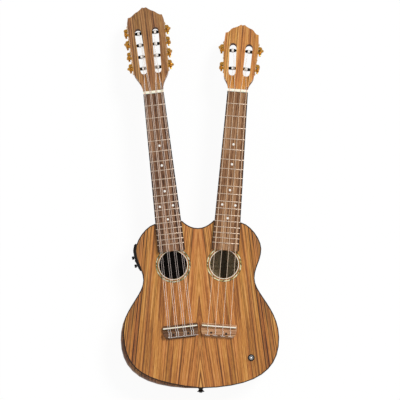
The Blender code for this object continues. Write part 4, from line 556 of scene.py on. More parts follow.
# Also the painted shade of the screws' slots and of the strap screw's recess.
dark_edge_and_slot_shade = speckled("stained_black_edge_and_slot_shade", "180E07", "29190E", roughness=0.45, grain=2.0, depth=0.004,
                      Specular_IOR_Level=0.25)
pearl_white = speckled("polished_white_dot", "F1EDE4", "FFFCF4", roughness=0.2, grain=1.5, depth=0.002,
                       IOR=1.53)
print("materials so far:", len(bpy.data.materials))

# %% [markdown]
# ## Clear nylon
# Nylon strings are clear. Lit from above they look milky, and they take the tone of what lies under
# them, which the material paints by place: a painted highlight, nearly white, on the rollers over the
# open slots and behind the saddles, and painted shade over the dark sound hole. The distance along
# the neck and the depth under the head's face pick the tone.

# %% Nylon
NYLON_PAINTED_LIGHT, NYLON_PAINTED_SHADE = "FFFAF4", "5A5A6A"
HOLE_SHADE_SHARE = {8: 0.45, 4: 0.1}
SLOTS_FROM, SUNK_FROM, SADDLE_BLEND = 20.0, 1.5, 2.0
nylon_of = partial(speckled, roughness=0.3, grain=2.0, depth=0.002, IOR=1.53)
nylon = {8: nylon_of("clear_nylon_eight", "E4CCBB", "F8E6D8"),
         4: nylon_of("clear_nylon_four", "EDCFB0", "FCE6CC")}
# A lighter copy of the nylon: a painted highlight for the tucked ends.
nylon_lit = nylon_of("clear_nylon_ends", "EFE6DE", NYLON_PAINTED_LIGHT)
for strings in NECKS:
    node = partial(add_node, nylon[strings].node_tree)
    along, up = grain_place(node, head_frame(strings))[1:]
    # Painted highlight: nearly white on the rollers over the open slots.
    lit_on_roller = region(node, (along, SLOTS_FROM, SLOTS_FROM + 1), (up, -SUNK_FROM, -SUNK_FROM - 1))
    lay_over(nylon[strings], lit_on_roller, NYLON_PAINTED_LIGHT)
    along = grain_place(node, neck_frame(strings))[1]
    # Painted highlight: nearly white behind the saddle.
    behind = region(node, (along, SADDLE_BLEND - SCALE_LENGTH, -SCALE_LENGTH))
    lay_over(nylon[strings], behind, NYLON_PAINTED_LIGHT)
    # Painted shade: dimmer over the dark sound hole.
    over_hole = node("Math", {0: along, 1: -SOUND_HOLE_FROM_NUT, 2: SOUND_HOLE_RADIUS},
                     operation="COMPARE")
    lay_over(nylon[strings], region(node, (over_hole, 0.0, 1.0), most=HOLE_SHADE_SHARE[strings]), NYLON_PAINTED_SHADE)
print("nodes in a string's material:", len(nylon[8].node_tree.nodes))

# %% [markdown]
# ## A roller of two materials
# A string roller is a black sleeve inside the slot and a brass gear outside the head. The change
# lies on the plane of the head's side, across the roller's axis, so it stays in place as the roller
# turns. The side's frame is repeated here, and the distance out of the side picks the material.

# %% Sides of the heads
class Head:
    """Sizes of one head in millimetres, up its face from behind the nut."""

    def __init__(self, flare, flare_at, top, top_at, slot, rollers):
        self.flare, self.flare_at, self.top, self.top_at = flare, flare_at, top, top_at
        self.slot_start, self.slot_end, self.slot_width, self.slot_low, self.slot_high = slot
        self.rollers = rollers
        self.lean = math.atan((top - flare) / (top_at - flare_at))

    def side_at(self, along):
        """Half width of the head, a straight line between the flare and the top."""
        share = (along - self.flare_at) / (self.top_at - self.flare_at)
        return self.flare + share * (self.top - self.flare)

    def slot_centre(self, along):
        """How far a slot's middle is from the head's middle."""
        share = (along - self.slot_start) / (self.slot_end - self.slot_start)
        return self.slot_low + share * (self.slot_high - self.slot_low)

    def barrel(self):
        """Inner and outer end of the sleeve in a roller's frame, at the walls of the slot."""
        outer = self.side_at(self.rollers) - self.slot_centre(self.rollers)
        return -min(outer + self.slot_width / 2), -max(outer - self.slot_width / 2)


HEADS = {8: Head(flare=31.7, flare_at=36.3, top=34.0, top_at=129.3,
                 slot=(32.7, 118.1, 12.3, 13.0, 16.2), rollers=43.8 + 21.9 * np.arange(4)),
         4: Head(flare=27.4, flare_at=24.0, top=31.6, top_at=87.4,
                 slot=(25.0, 85.4, 12.9, 12.9, 14.9), rollers=38.5 + 33.1 * np.arange(2))}
ROLLER_DEPTH = 7.0
ROLLER_RADIUS = 3.0
SIDE_BLEND = 0.05
SLEEVE_GRAIN, SLEEVE_FROM, SLEEVE_TO = 2.0, 0.3, 0.7
SLEEVE_DULL, SLEEVE_POLISHED = 0.28, 0.2


def side_frame(strings, hand, along):
    """On a head's side at one roller: X out of the side, Z with the face's normal."""
    head = HEADS[strings]
    about = -head.lean if hand > 0 else math.pi + head.lean
    return head_frame(strings) @ shift(hand * head.side_at(along), along, -ROLLER_DEPTH) @ turn(2, about)


def sleeve_and_gear(strings, hand):
    """Black sleeve inside the head's side, gold gear outside it: the distance out of it picks."""
    side = "left" if hand < 0 else "right"
    material, node = start_finish(f"sleeve_and_gear_{strings}_{side}", Specular_IOR_Level=0.1)
    outwards, along, up = grain_place(node, side_frame(strings, hand, HEADS[strings].rollers[0]))
    outside = region(node, (outwards, 0.0, SIDE_BLEND))
    place = node("CombineXYZ", {0: outwards, 1: along, 2: up})
    noise = marks(node, place, SLEEVE_GRAIN, SLEEVE_GRAIN)
    sleeve = node("ValToRGB", {0: noise}, ((SLEEVE_FROM, "040405"), (SLEEVE_TO, "0C0C0D")))
    plate = node("ValToRGB", {0: noise}, ((SPECK_FROM, GOLD_HOLLOW), (SPECK_TO, GOLD_CREST)))
    colour = node("Mix", {FACTOR: outside, BELOW: sleeve, ABOVE: plate}, data_type="RGBA")
    dull = node("MapRange", {0: noise, 1: SLEEVE_FROM, 2: SLEEVE_TO, 3: SLEEVE_DULL, 4: SLEEVE_POLISHED})
    connect(material, Base_Color=colour, Metallic=outside, Roughness=dull)
    return material


roller_finish = {(strings, hand): sleeve_and_gear(strings, hand) for strings in NECKS for hand in (-1, 1)}
print("roller finishes:", len(roller_finish))

# %% [markdown]
# ## Finishes for the solids that stay
# A solid whose shape is right keeps its mesh. Its object's material slots are set to the finish of
# the real piece, and every face takes it.

# %% Give the solids their finishes
def dress(node, material):
    """Puts one material in all slots of a solid's object."""
    for place in nodes[node].material_slots:
        place.material = material


finishes = {"soundboard": top_wood, "back_plate": back_wood, "ribs": side_wood, "arm_rest": arm_wood}
for strings in NECKS:
    finishes |= {f"neck_{strings}": neck_wood[strings], f"fingerboard_{strings}": board_wood[strings],
                 f"bridge_{strings}": bridge_wood[strings], f"nut_{strings}": cream,
                 f"saddle_{strings}": cream, f"tuner_plate_{strings}_left": gold,
                 f"tuner_plate_{strings}_right": gold}
finishes |= dict.fromkeys(("preamp_housing", "volume_knob", "tone_knob"), black_moulding)
for solid, finish in finishes.items():
    dress(solid, finish)
print("solids dressed:", len(finishes))

# %% [markdown]
# ## Making a mesh from a grid
# Every added piece is a grid of points: a function of two parameters, worked out as whole arrays.
# Four neighbouring points make a face. Where a grid meets itself at a seam or shrinks to a pole, the
# points fall together, so merging them closes the skin, and the faces are then turned outwards.

# %% From grids to a piece
MERGE_WITHIN, FLAT_WITHIN = 0.0005, 0.0001


def finish_mesh(mesh, crease):
    """Merges coinciding points, turns the faces outwards and keeps edges sharper than crease degrees."""
    work = bmesh.new()
    work.from_mesh(mesh)
    bmesh.ops.remove_doubles(work, verts=work.verts, dist=MERGE_WITHIN * MM)
    bmesh.ops.dissolve_degenerate(work, edges=work.edges, dist=FLAT_WITHIN * MM)
    bmesh.ops.recalc_face_normals(work, faces=work.faces)
    work.to_mesh(mesh)
    work.free()
    mesh.shade_smooth()
    mesh.set_sharp_from_angle(angle=math.radians(crease))


def show(name, mesh, material, body="body"):
    """Hangs a mesh in the scene, with its finish and the body that it rides on."""
    mesh.materials.append(material)
    piece = bpy.data.objects.new(name, mesh)
    bpy.context.scene.collection.objects.link(piece)
    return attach(piece, body)


def make_piece(name, grids, material, body="body", crease=35):
    """One piece from grids of points in millimetres: each cell of a grid becomes a face."""
    points, faces, start = [], [], 0
    for grid in grids:
        rows, columns = grid.shape[:2]
        index = start + np.arange(rows * columns).reshape(rows, columns)
        corners = np.stack((index[:-1, :-1], index[1:, :-1], index[1:, 1:], index[:-1, 1:]), axis=-1)
        points.append(grid.reshape(-1, 3))
        faces.append(corners.reshape(-1, 4))
        start += rows * columns
    mesh = bpy.data.meshes.new(name)
    mesh.from_pydata((np.concatenate(points) * MM).tolist(), [], np.concatenate(faces).tolist())
    finish_mesh(mesh, crease)
    return show(name, mesh, material, body)


print("corners closer than", MERGE_WITHIN, "mm are merged")


# %% Turned and drawn forms
def lathe(profile, steps=48):
    """A profile of radius and height turned about Z: x = r cos a, y = r sin a, z = h."""
    radius, height = np.array(profile, float).T[:, :, None]
    angle = np.linspace(0, 2 * math.pi, steps + 1)[None, :]
    return np.stack((radius * np.cos(angle), radius * np.sin(angle), height + 0 * angle), axis=-1)


def bar(section, start, end, soften=0.3):
    """A closed section of (y, z) points carried along X, its two ends rounded down to their middle."""
    places = np.array((start, start, start + soften, end - soften, end, end))
    sizes = np.array((0.0, 1 - soften, 1.0, 1.0, 1 - soften, 0.0))
    section = np.array(section, float)
    middle = section.mean(axis=0)
    loop = middle + sizes[:, None, None] * (section - middle)[None]
    across = np.broadcast_to(places[:, None, None], loop.shape[:2] + (1,))
    return np.concatenate((across, loop), axis=-1)


def strip_section(half, low, high):
    """The section of a slot or a line: a closed rectangle about the middle, from low to high."""
    return (-half, low), (half, low), (half, high), (-half, high), (-half, low)


print("points in a bar, rows by corners:", bar(strip_section(1, 0, 1), 0, 1).shape[:2])

# %% [markdown]
# ## Strings
# A string is one long curve: from its end beside the tie block, over the block, down behind it and
# forward through its bore, over the saddle, along the neck, over the nut, and round its roller. The
# corners are softened because nylon won't bend sharply. The turns on the roller are a helix, and
# each lies beside the last. A tube around the curve is a ring of points at each of its points.

# %% Tubes along a path
ALMOST_HALF = 0.45


def softened(path, reach, steps=4):
    """Rounds each corner c by (1 - t)^2 a + 2 t (1 - t) c + t^2 b, from a before it to b behind it."""
    corner = path[1:-1]
    back, ahead = path[:-2] - corner, path[2:] - corner
    back_length = np.linalg.norm(back, axis=1, keepdims=True)
    ahead_length = np.linalg.norm(ahead, axis=1, keepdims=True)
    start = corner + back / back_length * np.minimum(reach, ALMOST_HALF * back_length)
    end = corner + ahead / ahead_length * np.minimum(reach, ALMOST_HALF * ahead_length)
    t = np.linspace(0, 1, steps + 1)[None, :, None]
    curve = (1 - t) ** 2 * start[:, None] + 2 * t * (1 - t) * corner[:, None] + t ** 2 * end[:, None]
    return np.concatenate((path[:1], curve.reshape(-1, path.shape[1]), path[-1:]))


def tube(path, radius, across, sides=10):
    """Rings p + r cos a u + r sin a v: u and v are at right angles to the path at p and each other."""
    along = np.gradient(path, axis=0)
    along /= np.linalg.norm(along, axis=1, keepdims=True)
    first = np.cross(across, along)
    first /= np.linalg.norm(first, axis=1, keepdims=True)
    second = np.cross(along, first)
    rows = np.r_[0, np.arange(len(path)), len(path) - 1]
    radii = np.r_[0.0, np.full(len(path), radius), 0.0][:, None, None]
    angle = np.linspace(0, 2 * math.pi, sides + 1)[None, :, None]
    ring = np.cos(angle) * first[rows][:, None] + np.sin(angle) * second[rows][:, None]
    return path[rows][:, None] + radii * ring


print("points in a path of three with its corner rounded:", len(softened(np.eye(3), 0.1)))

# %% Sizes of the strings and their places at saddle and nut
STRING_RADIUS = 0.38
COURSES = 4
SPACING_SADDLE, SPACING_NUT = 13.8, 10.5
PAIR_GAP_SADDLE, PAIR_GAP_NUT = 3.6, 2.4
TIE_FRONT, TIE_BACK, TIE_TOP, BORE_HEIGHT = 8.4, 16.2, 8.4, 4.7
SADDLE_TOP, SADDLE_THICKNESS = 9.4, 2.4
NUT_SLOT_FLOOR = 7.1
LOOP_BULGE, LOOP_GAP, STRING_BEND = 1.3, 0.45, 0.9
WINDING_TURNS, WINDING_PITCH, WINDING_GAP = 4.25, 0.8, 0.12
STEPS_A_TURN = 20


def string_offsets(strings):
    """Places of the strings across the saddle and the nut: four courses, each one string or a pair."""
    course = np.arange(COURSES) - (COURSES - 1) / 2
    pair = np.array((-0.5, 0.5)) if strings == 8 else np.zeros(1)
    saddle = (course[:, None] * SPACING_SADDLE + pair * PAIR_GAP_SADDLE).ravel()
    nut = (course[:, None] * SPACING_NUT + pair * PAIR_GAP_NUT).ravel()
    return saddle, nut


print("places across the nut of eight:", string_offsets(8)[1].tolist())

# %% The route of one string
def winding(strings, hand, along, arriving):
    """A helix on a roller, y = r cos a, z = r sin a, from where the arriving string touches it."""
    side = side_frame(strings, hand, along)
    start = placed(np.linalg.inv(side), arriving)
    reach = ROLLER_RADIUS + STRING_RADIUS + WINDING_GAP
    facing = math.atan2(start[2], start[1])
    opening = math.acos(reach / math.hypot(start[1], start[2]))
    touch, spin = max((facing - opening, -1), (facing + opening, 1), key=lambda way: math.sin(way[0]))
    turns = np.linspace(0, WINDING_TURNS, int(WINDING_TURNS * STEPS_A_TURN) + 1)
    angle = touch + spin * 2 * math.pi * turns
    across = sum(HEADS[strings].barrel()) / 2 + WINDING_PITCH * (turns - WINDING_TURNS / 2)
    return placed(side, np.stack((across, reach * np.cos(angle), reach * np.sin(angle)), axis=-1))


def string_path(strings, hand, row):
    """The centre line. A tail point is (across, behind the saddle, up), just off the tie block."""
    string = row if hand < 0 else strings - 1 - row
    at_saddle, at_nut = (offsets[string] for offsets in string_offsets(strings))
    step, over = 2 * STRING_RADIUS + LOOP_GAP, TIE_TOP + SEAT + STRING_RADIUS
    tail = np.array((
        (step, TIE_FRONT - 1, TIE_TOP - 2), (step, TIE_FRONT - 0.9, TIE_TOP + 0.1),
        (0.9 * step, TIE_FRONT - 0.25, over), (0.4 * step, TIE_BACK - 0.2, over),
        (0.2 * step, TIE_BACK + 0.58 * LOOP_BULGE, TIE_TOP + 0.2),
        (0, TIE_BACK + LOOP_BULGE, BORE_HEIGHT + LOOP_BULGE),
        (0, TIE_BACK + 0.46 * LOOP_BULGE, BORE_HEIGHT), (0, TIE_FRONT - 0.6, BORE_HEIGHT + 0.1)))
    tail = tail * (1, -1, 1) + (at_saddle, -SCALE_LENGTH, 0)
    crest = SADDLE_TOP + SEAT + STRING_RADIUS
    rise = NUT_SLOT_FLOOR + SEAT + STRING_RADIUS
    rest = np.array((
        (at_saddle, -SCALE_LENGTH - 0.4 * SADDLE_THICKNESS, crest - 0.25),
        (at_saddle, -SCALE_LENGTH + 0.25 * SADDLE_THICKNESS, crest),
        (at_nut, 0.3 - NUT_THICKNESS / 2, rise), (at_nut, 1.3 - NUT_THICKNESS / 2, rise - 0.08)))
    route = placed(neck_frame(strings), np.concatenate((tail, rest)))
    turns = winding(strings, hand, HEADS[strings].rollers[row], route[-1])
    return np.concatenate((softened(np.concatenate((route, turns[:1])), STRING_BEND), turns[1:]))


print("points along the first string:", len(string_path(8, -1, 0)))

# %% All the strings
for strings in NECKS:
    for hand in (-1, 1):
        for row in range(strings // 2):
            path = string_path(strings, hand, row)
            axis = side_frame(strings, hand, 0.0)[:3, 0]
            number = (row if hand < 0 else strings - 1 - row) + 1
            string = make_piece(f"nylon_string_{strings}_{number}", [tube(path, STRING_RADIUS, axis)],
                                nylon[strings], crease=60)
            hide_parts(f"string_{strings}_{number}")
print("strings made, each of", len(path), "rings")

# %% [markdown]
# ## Knots behind the bridges
# A nylon string is tied by passing its end back under its own loop, and the ends are tucked under
# the next loop, so a strand lies along the back of each tie block. Such a strand is painted nearly
# white, a painted highlight where the light passes into the nylon.

# %% Tucked string ends
TUCK_START = -3.0
TUCK_REACH = {8: 10.5, 4: 5.0}
TUCK_BEND = 0.7
TUCK_ACROSS = (0.3, 0.2, 1.0)
for strings, end in TUCK_REACH.items():
    strands = []
    for course in string_offsets(strings)[0].reshape(COURSES, -1).mean(axis=1):
        route = np.array((
            (TUCK_START, TIE_BACK - 0.6, TIE_TOP + 0.4), (TUCK_START + 0.5, TIE_BACK + 0.7, TIE_TOP - 0.2),
            (0.0, TIE_BACK + 1.0, TIE_TOP - 0.8), (end - 1.0, TIE_BACK + 0.9, TIE_TOP - 1.0),
            (end, TIE_BACK + 0.9, TIE_TOP - 0.4)))
        route = route * (1, -1, 1) + (course, -SCALE_LENGTH, 0)
        path = placed(neck_frame(strings), softened(route, TUCK_BEND))
        strands.append(tube(path, STRING_RADIUS, TUCK_ACROSS))
    # Painted highlight: the tucked ends take the lighter copy of the nylon.
    make_piece(f"tucked_ends_{strings}", strands, nylon_lit, crease=60)
print("strands a bridge:", len(strands))

# %% [markdown]
# ## Worms, buttons and gears
# Each tuner is a worm gear. The button's shaft carries a thread of one start, and one turn of it moves
# the gear on the roller by one of its twelve teeth. The solids have eight sides, so finer skins of
# the same sizes stand for them. The rows of the thread's skin climb with the thread, so that its edges
# come out clean with few faces, and the thread runs out over a few degrees at both ends. The gear's
# columns follow the outline of the teeth and lean with the thread.

# %% Sizes of thread, teeth and button
TOOTH_MODULE = 0.875
GEAR_TEETH = 12
GEAR_RADIUS = GEAR_TEETH * TOOTH_MODULE / 2
WORM_RADIUS = 2.5
WORM_OUT = 4.8
ADDENDUM, DEDENDUM = 0.65, 0.9
FLANK = math.tan(math.radians(20))
THREAD_HALF, TOOTH_HALF = 0.5, 0.54
THREAD_PITCH = math.pi * TOOTH_MODULE
THREAD_ROOT = WORM_RADIUS - DEDENDUM
THREAD_FOOT = THREAD_HALF + DEDENDUM * FLANK
THREAD_TIP = THREAD_HALF - ADDENDUM * FLANK
RUN_OUT = 0.12 * THREAD_PITCH
SHOULDER = THREAD_PITCH + THREAD_FOOT + 0.12
JOURNAL_RADIUS, JOURNAL_SOFT = 1.25, 0.2
JOURNAL_TOP = SHOULDER + 2.43
SHAFT_SIDES = 32
BUTTON_TOP, BUTTON_LENGTH = -13.5, 13.0
BUTTON_HALF_WIDTH, BUTTON_HALF_THICKNESS = 6.5, 3.2
BUTTON_ROUND, BUTTON_ROWS = 2.4, 25
BUTTON_TURNS = {8: (12, 55, -30, 80, 25, -60, 40, -15), 4: (65, -40, 20, 75)}
print("thread pitch:", round(THREAD_PITCH, 3), "mm")

# %% Thread, shaft and button
def thread_skin():
    """Rows across the thread climb with the angle, z = row + pitch x turns, cut off at the shoulders."""
    turns = np.linspace(0, 1, SHAFT_SIDES + 1)
    starts = THREAD_PITCH * np.arange(-3, 3)
    rows = (starts[:, None] + (-THREAD_FOOT, -THREAD_TIP, THREAD_TIP, THREAD_FOOT)).reshape(-1, 1)
    middle = np.repeat(starts, 4)[:, None] + THREAD_PITCH * turns
    crest = np.tile((0, 1, 1, 0), len(starts))[:, None]
    rise = crest * np.clip((THREAD_PITCH - abs(middle)) / RUN_OUT, 0, 1)
    radius = THREAD_ROOT + rise * (ADDENDUM + DEDENDUM)
    height = np.clip(rows + THREAD_PITCH * turns, -SHOULDER, SHOULDER)
    angle = 2 * math.pi * turns
    return np.stack((radius * np.cos(angle), radius * np.sin(angle), height), axis=-1)


def button_skin():
    """Shaft and button: half widths swell as the root of 1 less (2 u - 1) to the 2.4, u from 0 to 1."""
    share = np.linspace(0, 1, BUTTON_ROWS)
    swell = np.sqrt(1 - abs(2 * share - 1) ** BUTTON_ROUND)
    neck = JOURNAL_RADIUS * np.clip(1 - 2 * share, 0, 1)
    wide = neck + (BUTTON_HALF_WIDTH - neck) * swell
    thick = neck + (BUTTON_HALF_THICKNESS - neck) * swell
    shaft = ((THREAD_ROOT, -SHOULDER), (JOURNAL_RADIUS, -SHOULDER))
    skin = lathe(np.r_[shaft, np.c_[wide, BUTTON_TOP - share * BUTTON_LENGTH]], SHAFT_SIDES)
    skin[2:, :, 1] *= (thick / np.maximum(wide, SEAT))[:, None]
    return skin


journal = lathe(((THREAD_ROOT, SHOULDER), (JOURNAL_RADIUS, SHOULDER),
                 (JOURNAL_RADIUS, JOURNAL_TOP - JOURNAL_SOFT), (JOURNAL_RADIUS - JOURNAL_SOFT, JOURNAL_TOP),
                 (0, JOURNAL_TOP)), SHAFT_SIDES)
tuner_skins = (thread_skin(), button_skin(), journal)
print("rows in a worm and its button:", [len(skin) for skin in tuner_skins])

# %% Roller and gear
GEAR_HALF, GEAR_BEVEL = 1.8, 0.25
ROLLER_SOFT = 0.2
PIN_RADIUS, PIN_LENGTH, SHAFT_RADIUS = 1.8, 2.6, 2.4
SCREW_BOSS, SCREW_HIGH, SCREW_BEVEL = 2.2, 1.0, (0.4, 0.3)
RUNNING = 0.35
KNEE = 0.3
GEAR_TWIST = THREAD_PITCH / (2 * math.pi * WORM_RADIUS * GEAR_RADIUS)
MESH_SHARE = 0.75


def teeth_outline():
    """Angle and radius round the gear: flanks lean by the pressure angle, half = h0 - height x tan."""
    height = np.array((-DEDENDUM, -KNEE, KNEE, ADDENDUM, ADDENDUM, KNEE, -KNEE, -DEDENDUM))
    radius = GEAR_RADIUS + height
    offset = (TOOTH_HALF - height * FLANK) / radius * np.repeat((-1, 1), 4)
    angle = (2 * math.pi / GEAR_TEETH * np.arange(GEAR_TEETH)[:, None] + offset).ravel()
    return np.r_[angle, angle[0] + 2 * math.pi], np.r_[np.tile(radius, GEAR_TEETH), radius[0]]


def roller_skin(strings):
    """Rows of radius and height on the columns of the teeth, which turn with the height."""
    inner, outer = HEADS[strings].barrel()
    inner, outer = inner + RUNNING, outer - RUNNING
    low, high = WORM_OUT - GEAR_HALF, WORM_OUT + GEAR_HALF
    angle, teeth = teeth_outline()
    plain = ((0, inner - PIN_LENGTH), (PIN_RADIUS, inner - PIN_LENGTH), (PIN_RADIUS, inner),
             (ROLLER_RADIUS - ROLLER_SOFT, inner), (ROLLER_RADIUS, inner + ROLLER_SOFT),
             (ROLLER_RADIUS, outer - ROLLER_SOFT), (ROLLER_RADIUS - ROLLER_SOFT, outer),
             (SHAFT_RADIUS, outer), (SHAFT_RADIUS, low))
    cut = ((GEAR_BEVEL, low), (0, low + GEAR_BEVEL), (0, high - GEAR_BEVEL), (GEAR_BEVEL, high))
    screw = ((SCREW_BOSS, high), (SCREW_BOSS, high + SCREW_HIGH - SCREW_BEVEL[1]),
             (SCREW_BOSS - SCREW_BEVEL[0], high + SCREW_HIGH), (0, high + SCREW_HIGH))
    radius = np.r_[[r + 0 * teeth for r, z in plain], [teeth - inset for inset, z in cut],
                   [r + 0 * teeth for r, z in screw]]
    height = np.array([z for r, z in plain + cut + screw])[:, None]
    turned = angle + GEAR_TWIST * (height - WORM_OUT)
    return np.stack((radius * np.cos(turned), radius * np.sin(turned), height + 0 * radius), axis=-1)


print("corners round the gear:", len(teeth_outline()[0]))

# %% Place the tuners
SLOT_LOW, SLOT_TOP, SLOT_HALF, SLOT_REACH = 0.3, 0.78, 0.16, 1.0
SLOT_PROUD = 0.02
# The dark bar of a screw's slot is painted shade, standing a hair proud of the screw's head.
slot = bar(strip_section(SLOT_HALF, SLOT_LOW, SLOT_TOP), -SLOT_REACH, SLOT_REACH, soften=0.1)
slot_base = WORM_OUT + GEAR_HALF + SCREW_HIGH + SLOT_PROUD - SLOT_TOP
for strings in NECKS:
    roller = roller_skin(strings)
    for number, degrees in enumerate(BUTTON_TURNS[strings], 1):
        hand = -1 if number <= strings // 2 else 1
        row = number - 1 if hand < 0 else strings - number
        label, about = f"{strings}_{number}", math.radians(degrees)
        side = side_frame(strings, hand, HEADS[strings].rollers[row])
        worm_stand = side @ shift(WORM_OUT, hand * (GEAR_RADIUS + WORM_RADIUS), 0) @ turn(2, about)
        skins = [placed(worm_stand, skin) for skin in tuner_skins]
        button = make_piece(f"worm_and_button_{label}", skins, gold, f"tuner_button_{label}")
        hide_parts(f"tuner_button_{label}")
        gear_turn = hand * (math.pi / 2 - about / GEAR_TEETH) - MESH_SHARE * 2 * math.pi / GEAR_TEETH
        roller_stand = side @ turn(1, math.pi / 2) @ turn(2, gear_turn)
        body_name = f"string_roller_{label}"
        sleeve = make_piece(f"sleeve_and_gear_{label}", [placed(roller_stand, roller)],
                            roller_finish[strings, hand], body_name)
        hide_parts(body_name)
        # Painted shade for the slot in the gear's screw.
        make_piece(f"gear_slot_shade_{label}", [placed(roller_stand @ shift(0, 0, slot_base), slot)],
                   dark_edge_and_slot_shade, body_name)
print("triangles in a gear and its roller:", 2 * roller.shape[0] * roller.shape[1])

# %% [markdown]
# ## Screws of the tuner plates
# Round-headed screws hold each plate at both ends and between the gears. A head is a low dome with
# a sawn slot, drawn as painted shade: a thin dark bar standing a hair proud of the dome. The slots
# stop at any angle, so each is turned by the golden share of a turn more than the last.

# %% Plate screws
PLATE_FACE = 1.3
PLATE_PAST_WORM = 9.5
FROM_LOW_END, FROM_HIGH_END = 1.9, 2.6
EAR_RADIUS = 2.7
GOLDEN_SHARE = 0.618
DOME_PROFILE = ((0, 0.75), (0.5, 0.7), (1.0, 0.5), (1.4, 0.1), (1.4, -0.2), (0, -0.2))


def screw_places(strings):
    """Along a plate from its first gear: one end, halfway from each worm to the next gear, other end."""
    head = HEADS[strings]
    gears = (head.rollers - head.rollers[0]) / math.cos(head.lean)
    worms = gears + GEAR_RADIUS + WORM_RADIUS
    between = (worms[:-1] + EAR_RADIUS + gears[1:] - GEAR_RADIUS - ADDENDUM) / 2
    return np.r_[FROM_LOW_END - PLATE_PAST_WORM, between, worms[-1] + PLATE_PAST_WORM - FROM_HIGH_END]


for strings in NECKS:
    domes, slots = [], []
    for hand in (-1, 1):
        side = side_frame(strings, hand, HEADS[strings].rollers[0])
        for number, along in enumerate(screw_places(strings)):
            stand = side @ shift(PLATE_FACE, hand * along, 0) @ turn(1, math.pi / 2)
            domes.append(placed(stand, lathe(DOME_PROFILE, steps=24)))
            slots.append(placed(stand @ turn(2, 2 * math.pi * GOLDEN_SHARE * number), slot))
    make_piece(f"plate_screws_{strings}", domes, gold)
    # Painted shade: one dark bar for the slot of each plate screw.
    make_piece(f"plate_slot_shades_{strings}", slots, dark_edge_and_slot_shade)
print("screws a head:", len(domes))

# %% [markdown]
# ## Fret wires
# A fret is nickel silver wire with a low round crown, pressed into a sawn slot and dressed at both
# ends. The solid board has plain ridges in the true places, each a step of the twelfth root of two
# nearer the saddle. A bar with a crown of half an ellipse covers each ridge.

# %% Fret wires
FRET_COUNT = 18
FRET_HALF_WIDTH, FRET_HEIGHT, FRET_SUNK = 1.06, 0.97, 0.05
FRET_PAST_EDGE, FRET_END, FRET_STEPS = 0.02, 0.35, 10


def fret_distance(number):
    """Distance from the nut: the scale length times one less two to the minus n twelfths."""
    return SCALE_LENGTH * (1 - 2 ** (-number / 12))


def fret_section(y):
    """Half an ellipse on a flat foot: y + a cos t, foot + b sin t for t from 0 to pi."""
    t = np.linspace(0, math.pi, FRET_STEPS + 1)
    height = BOARD_TOP - FRET_SUNK + (FRET_HEIGHT + FRET_SUNK) * np.sin(t)
    crown = np.stack((y + FRET_HALF_WIDTH * np.cos(t), height), axis=-1)
    return np.concatenate((crown, crown[:1]))


for strings in NECKS:
    wires = []
    for from_nut in fret_distance(np.arange(1, FRET_COUNT + 1)):
        half = board_half_width(from_nut) + FRET_PAST_EDGE
        wires.append(placed(neck_frame(strings), bar(fret_section(-from_nut), -half, half, FRET_END)))
    make_piece(f"fret_wires_{strings}", wires, nickel, crease=50)
print("fret wires a neck:", len(wires))

# %% [markdown]
# ## Dots and plugs
# Position dots are discs of white pearloid let into the board and sanded flush, so only a hair of
# their height is left above the wood. They stand halfway between two frets, and in pairs at the
# octave. Two black plugs in each bridge cover its screws.

# %% Dots on the boards and plugs in the bridges
DOT_RADIUS, DOT_SUNK, DOT_PROUD = 2.2, 0.4, 0.06
DOT_PLACES = ((5, 0.0), (7, 0.0), (10, 0.0), (12, -12.0), (12, 12.0), (14, 0.0))
PLUG_RADIUS, PLUG_SUNK, PLUG_PROUD = 2.1, 0.5, 0.08
PLUG_ACROSS, PLUG_BEHIND = 13.7, 12.4
RIM_SHARE = 0.1


def disc(radius, foot, top):
    """A low plug: a flat middle and a rim rounded over by a tenth of its radius."""
    soft = RIM_SHARE * radius
    profile = ((0, top), (radius - soft, top), (radius - soft / 3, top - soft / 10),
               (radius, top - soft / 3), (radius, foot), (0, foot))
    return lathe(profile, steps=32)


dot = disc(DOT_RADIUS, BOARD_TOP - DOT_SUNK, BOARD_TOP + DOT_PROUD)
plug = disc(PLUG_RADIUS, TIE_TOP - PLUG_SUNK, TIE_TOP + PLUG_PROUD)
for strings in NECKS:
    dots = []
    for space, across in DOT_PLACES:
        middle = -(fret_distance(space) + fret_distance(space - 1)) / 2
        dots.append(placed(neck_frame(strings) @ shift(across, middle, 0), dot))
    make_piece(f"position_dots_{strings}", dots, pearl_white)
    plugs = [placed(neck_frame(strings) @ shift(hand * PLUG_ACROSS, -SCALE_LENGTH - PLUG_BEHIND, 0), plug)
             for hand in (-1, 1)]
    make_piece(f"bridge_plugs_{strings}", plugs, dark_edge_and_slot_shade)
print("dots a neck:", len(dots))

# %% [markdown]
# ## Rosettes
# Round each sound hole lie three rings: a thin cream one at the hole, plain wood, and a wide one
# made of slanted slips of cream, olive and dark wood, with a dark line at either side. The slips
# are one material: the angle about the hole, leaning with the radius, picks a slip, and the slip's
# number times the golden share picks its wood, which spreads the woods as chance would.

# %% Slips of inlaid wood
ROPE_SLIPS = 70
ROPE_LEAN = 0.48125
JOINT_WIDTH, JOINT_SHADE = 0.16, 0.55
ROPE_TONES = {8: ("D8D2AE", "7F8358", "B9A56E", "4A3A22", "E8E2C8", "9AA276"),
              4: ("F0E6B4", "A78F4C", "E6D698", "5A4526", "FFF6D2", "C9B46C")}


def hole_centre(strings):
    """Middle of a sound hole in the model's frame."""
    return placed(neck_frame(strings), (0.0, -SOUND_HOLE_FROM_NUT, 0.0))


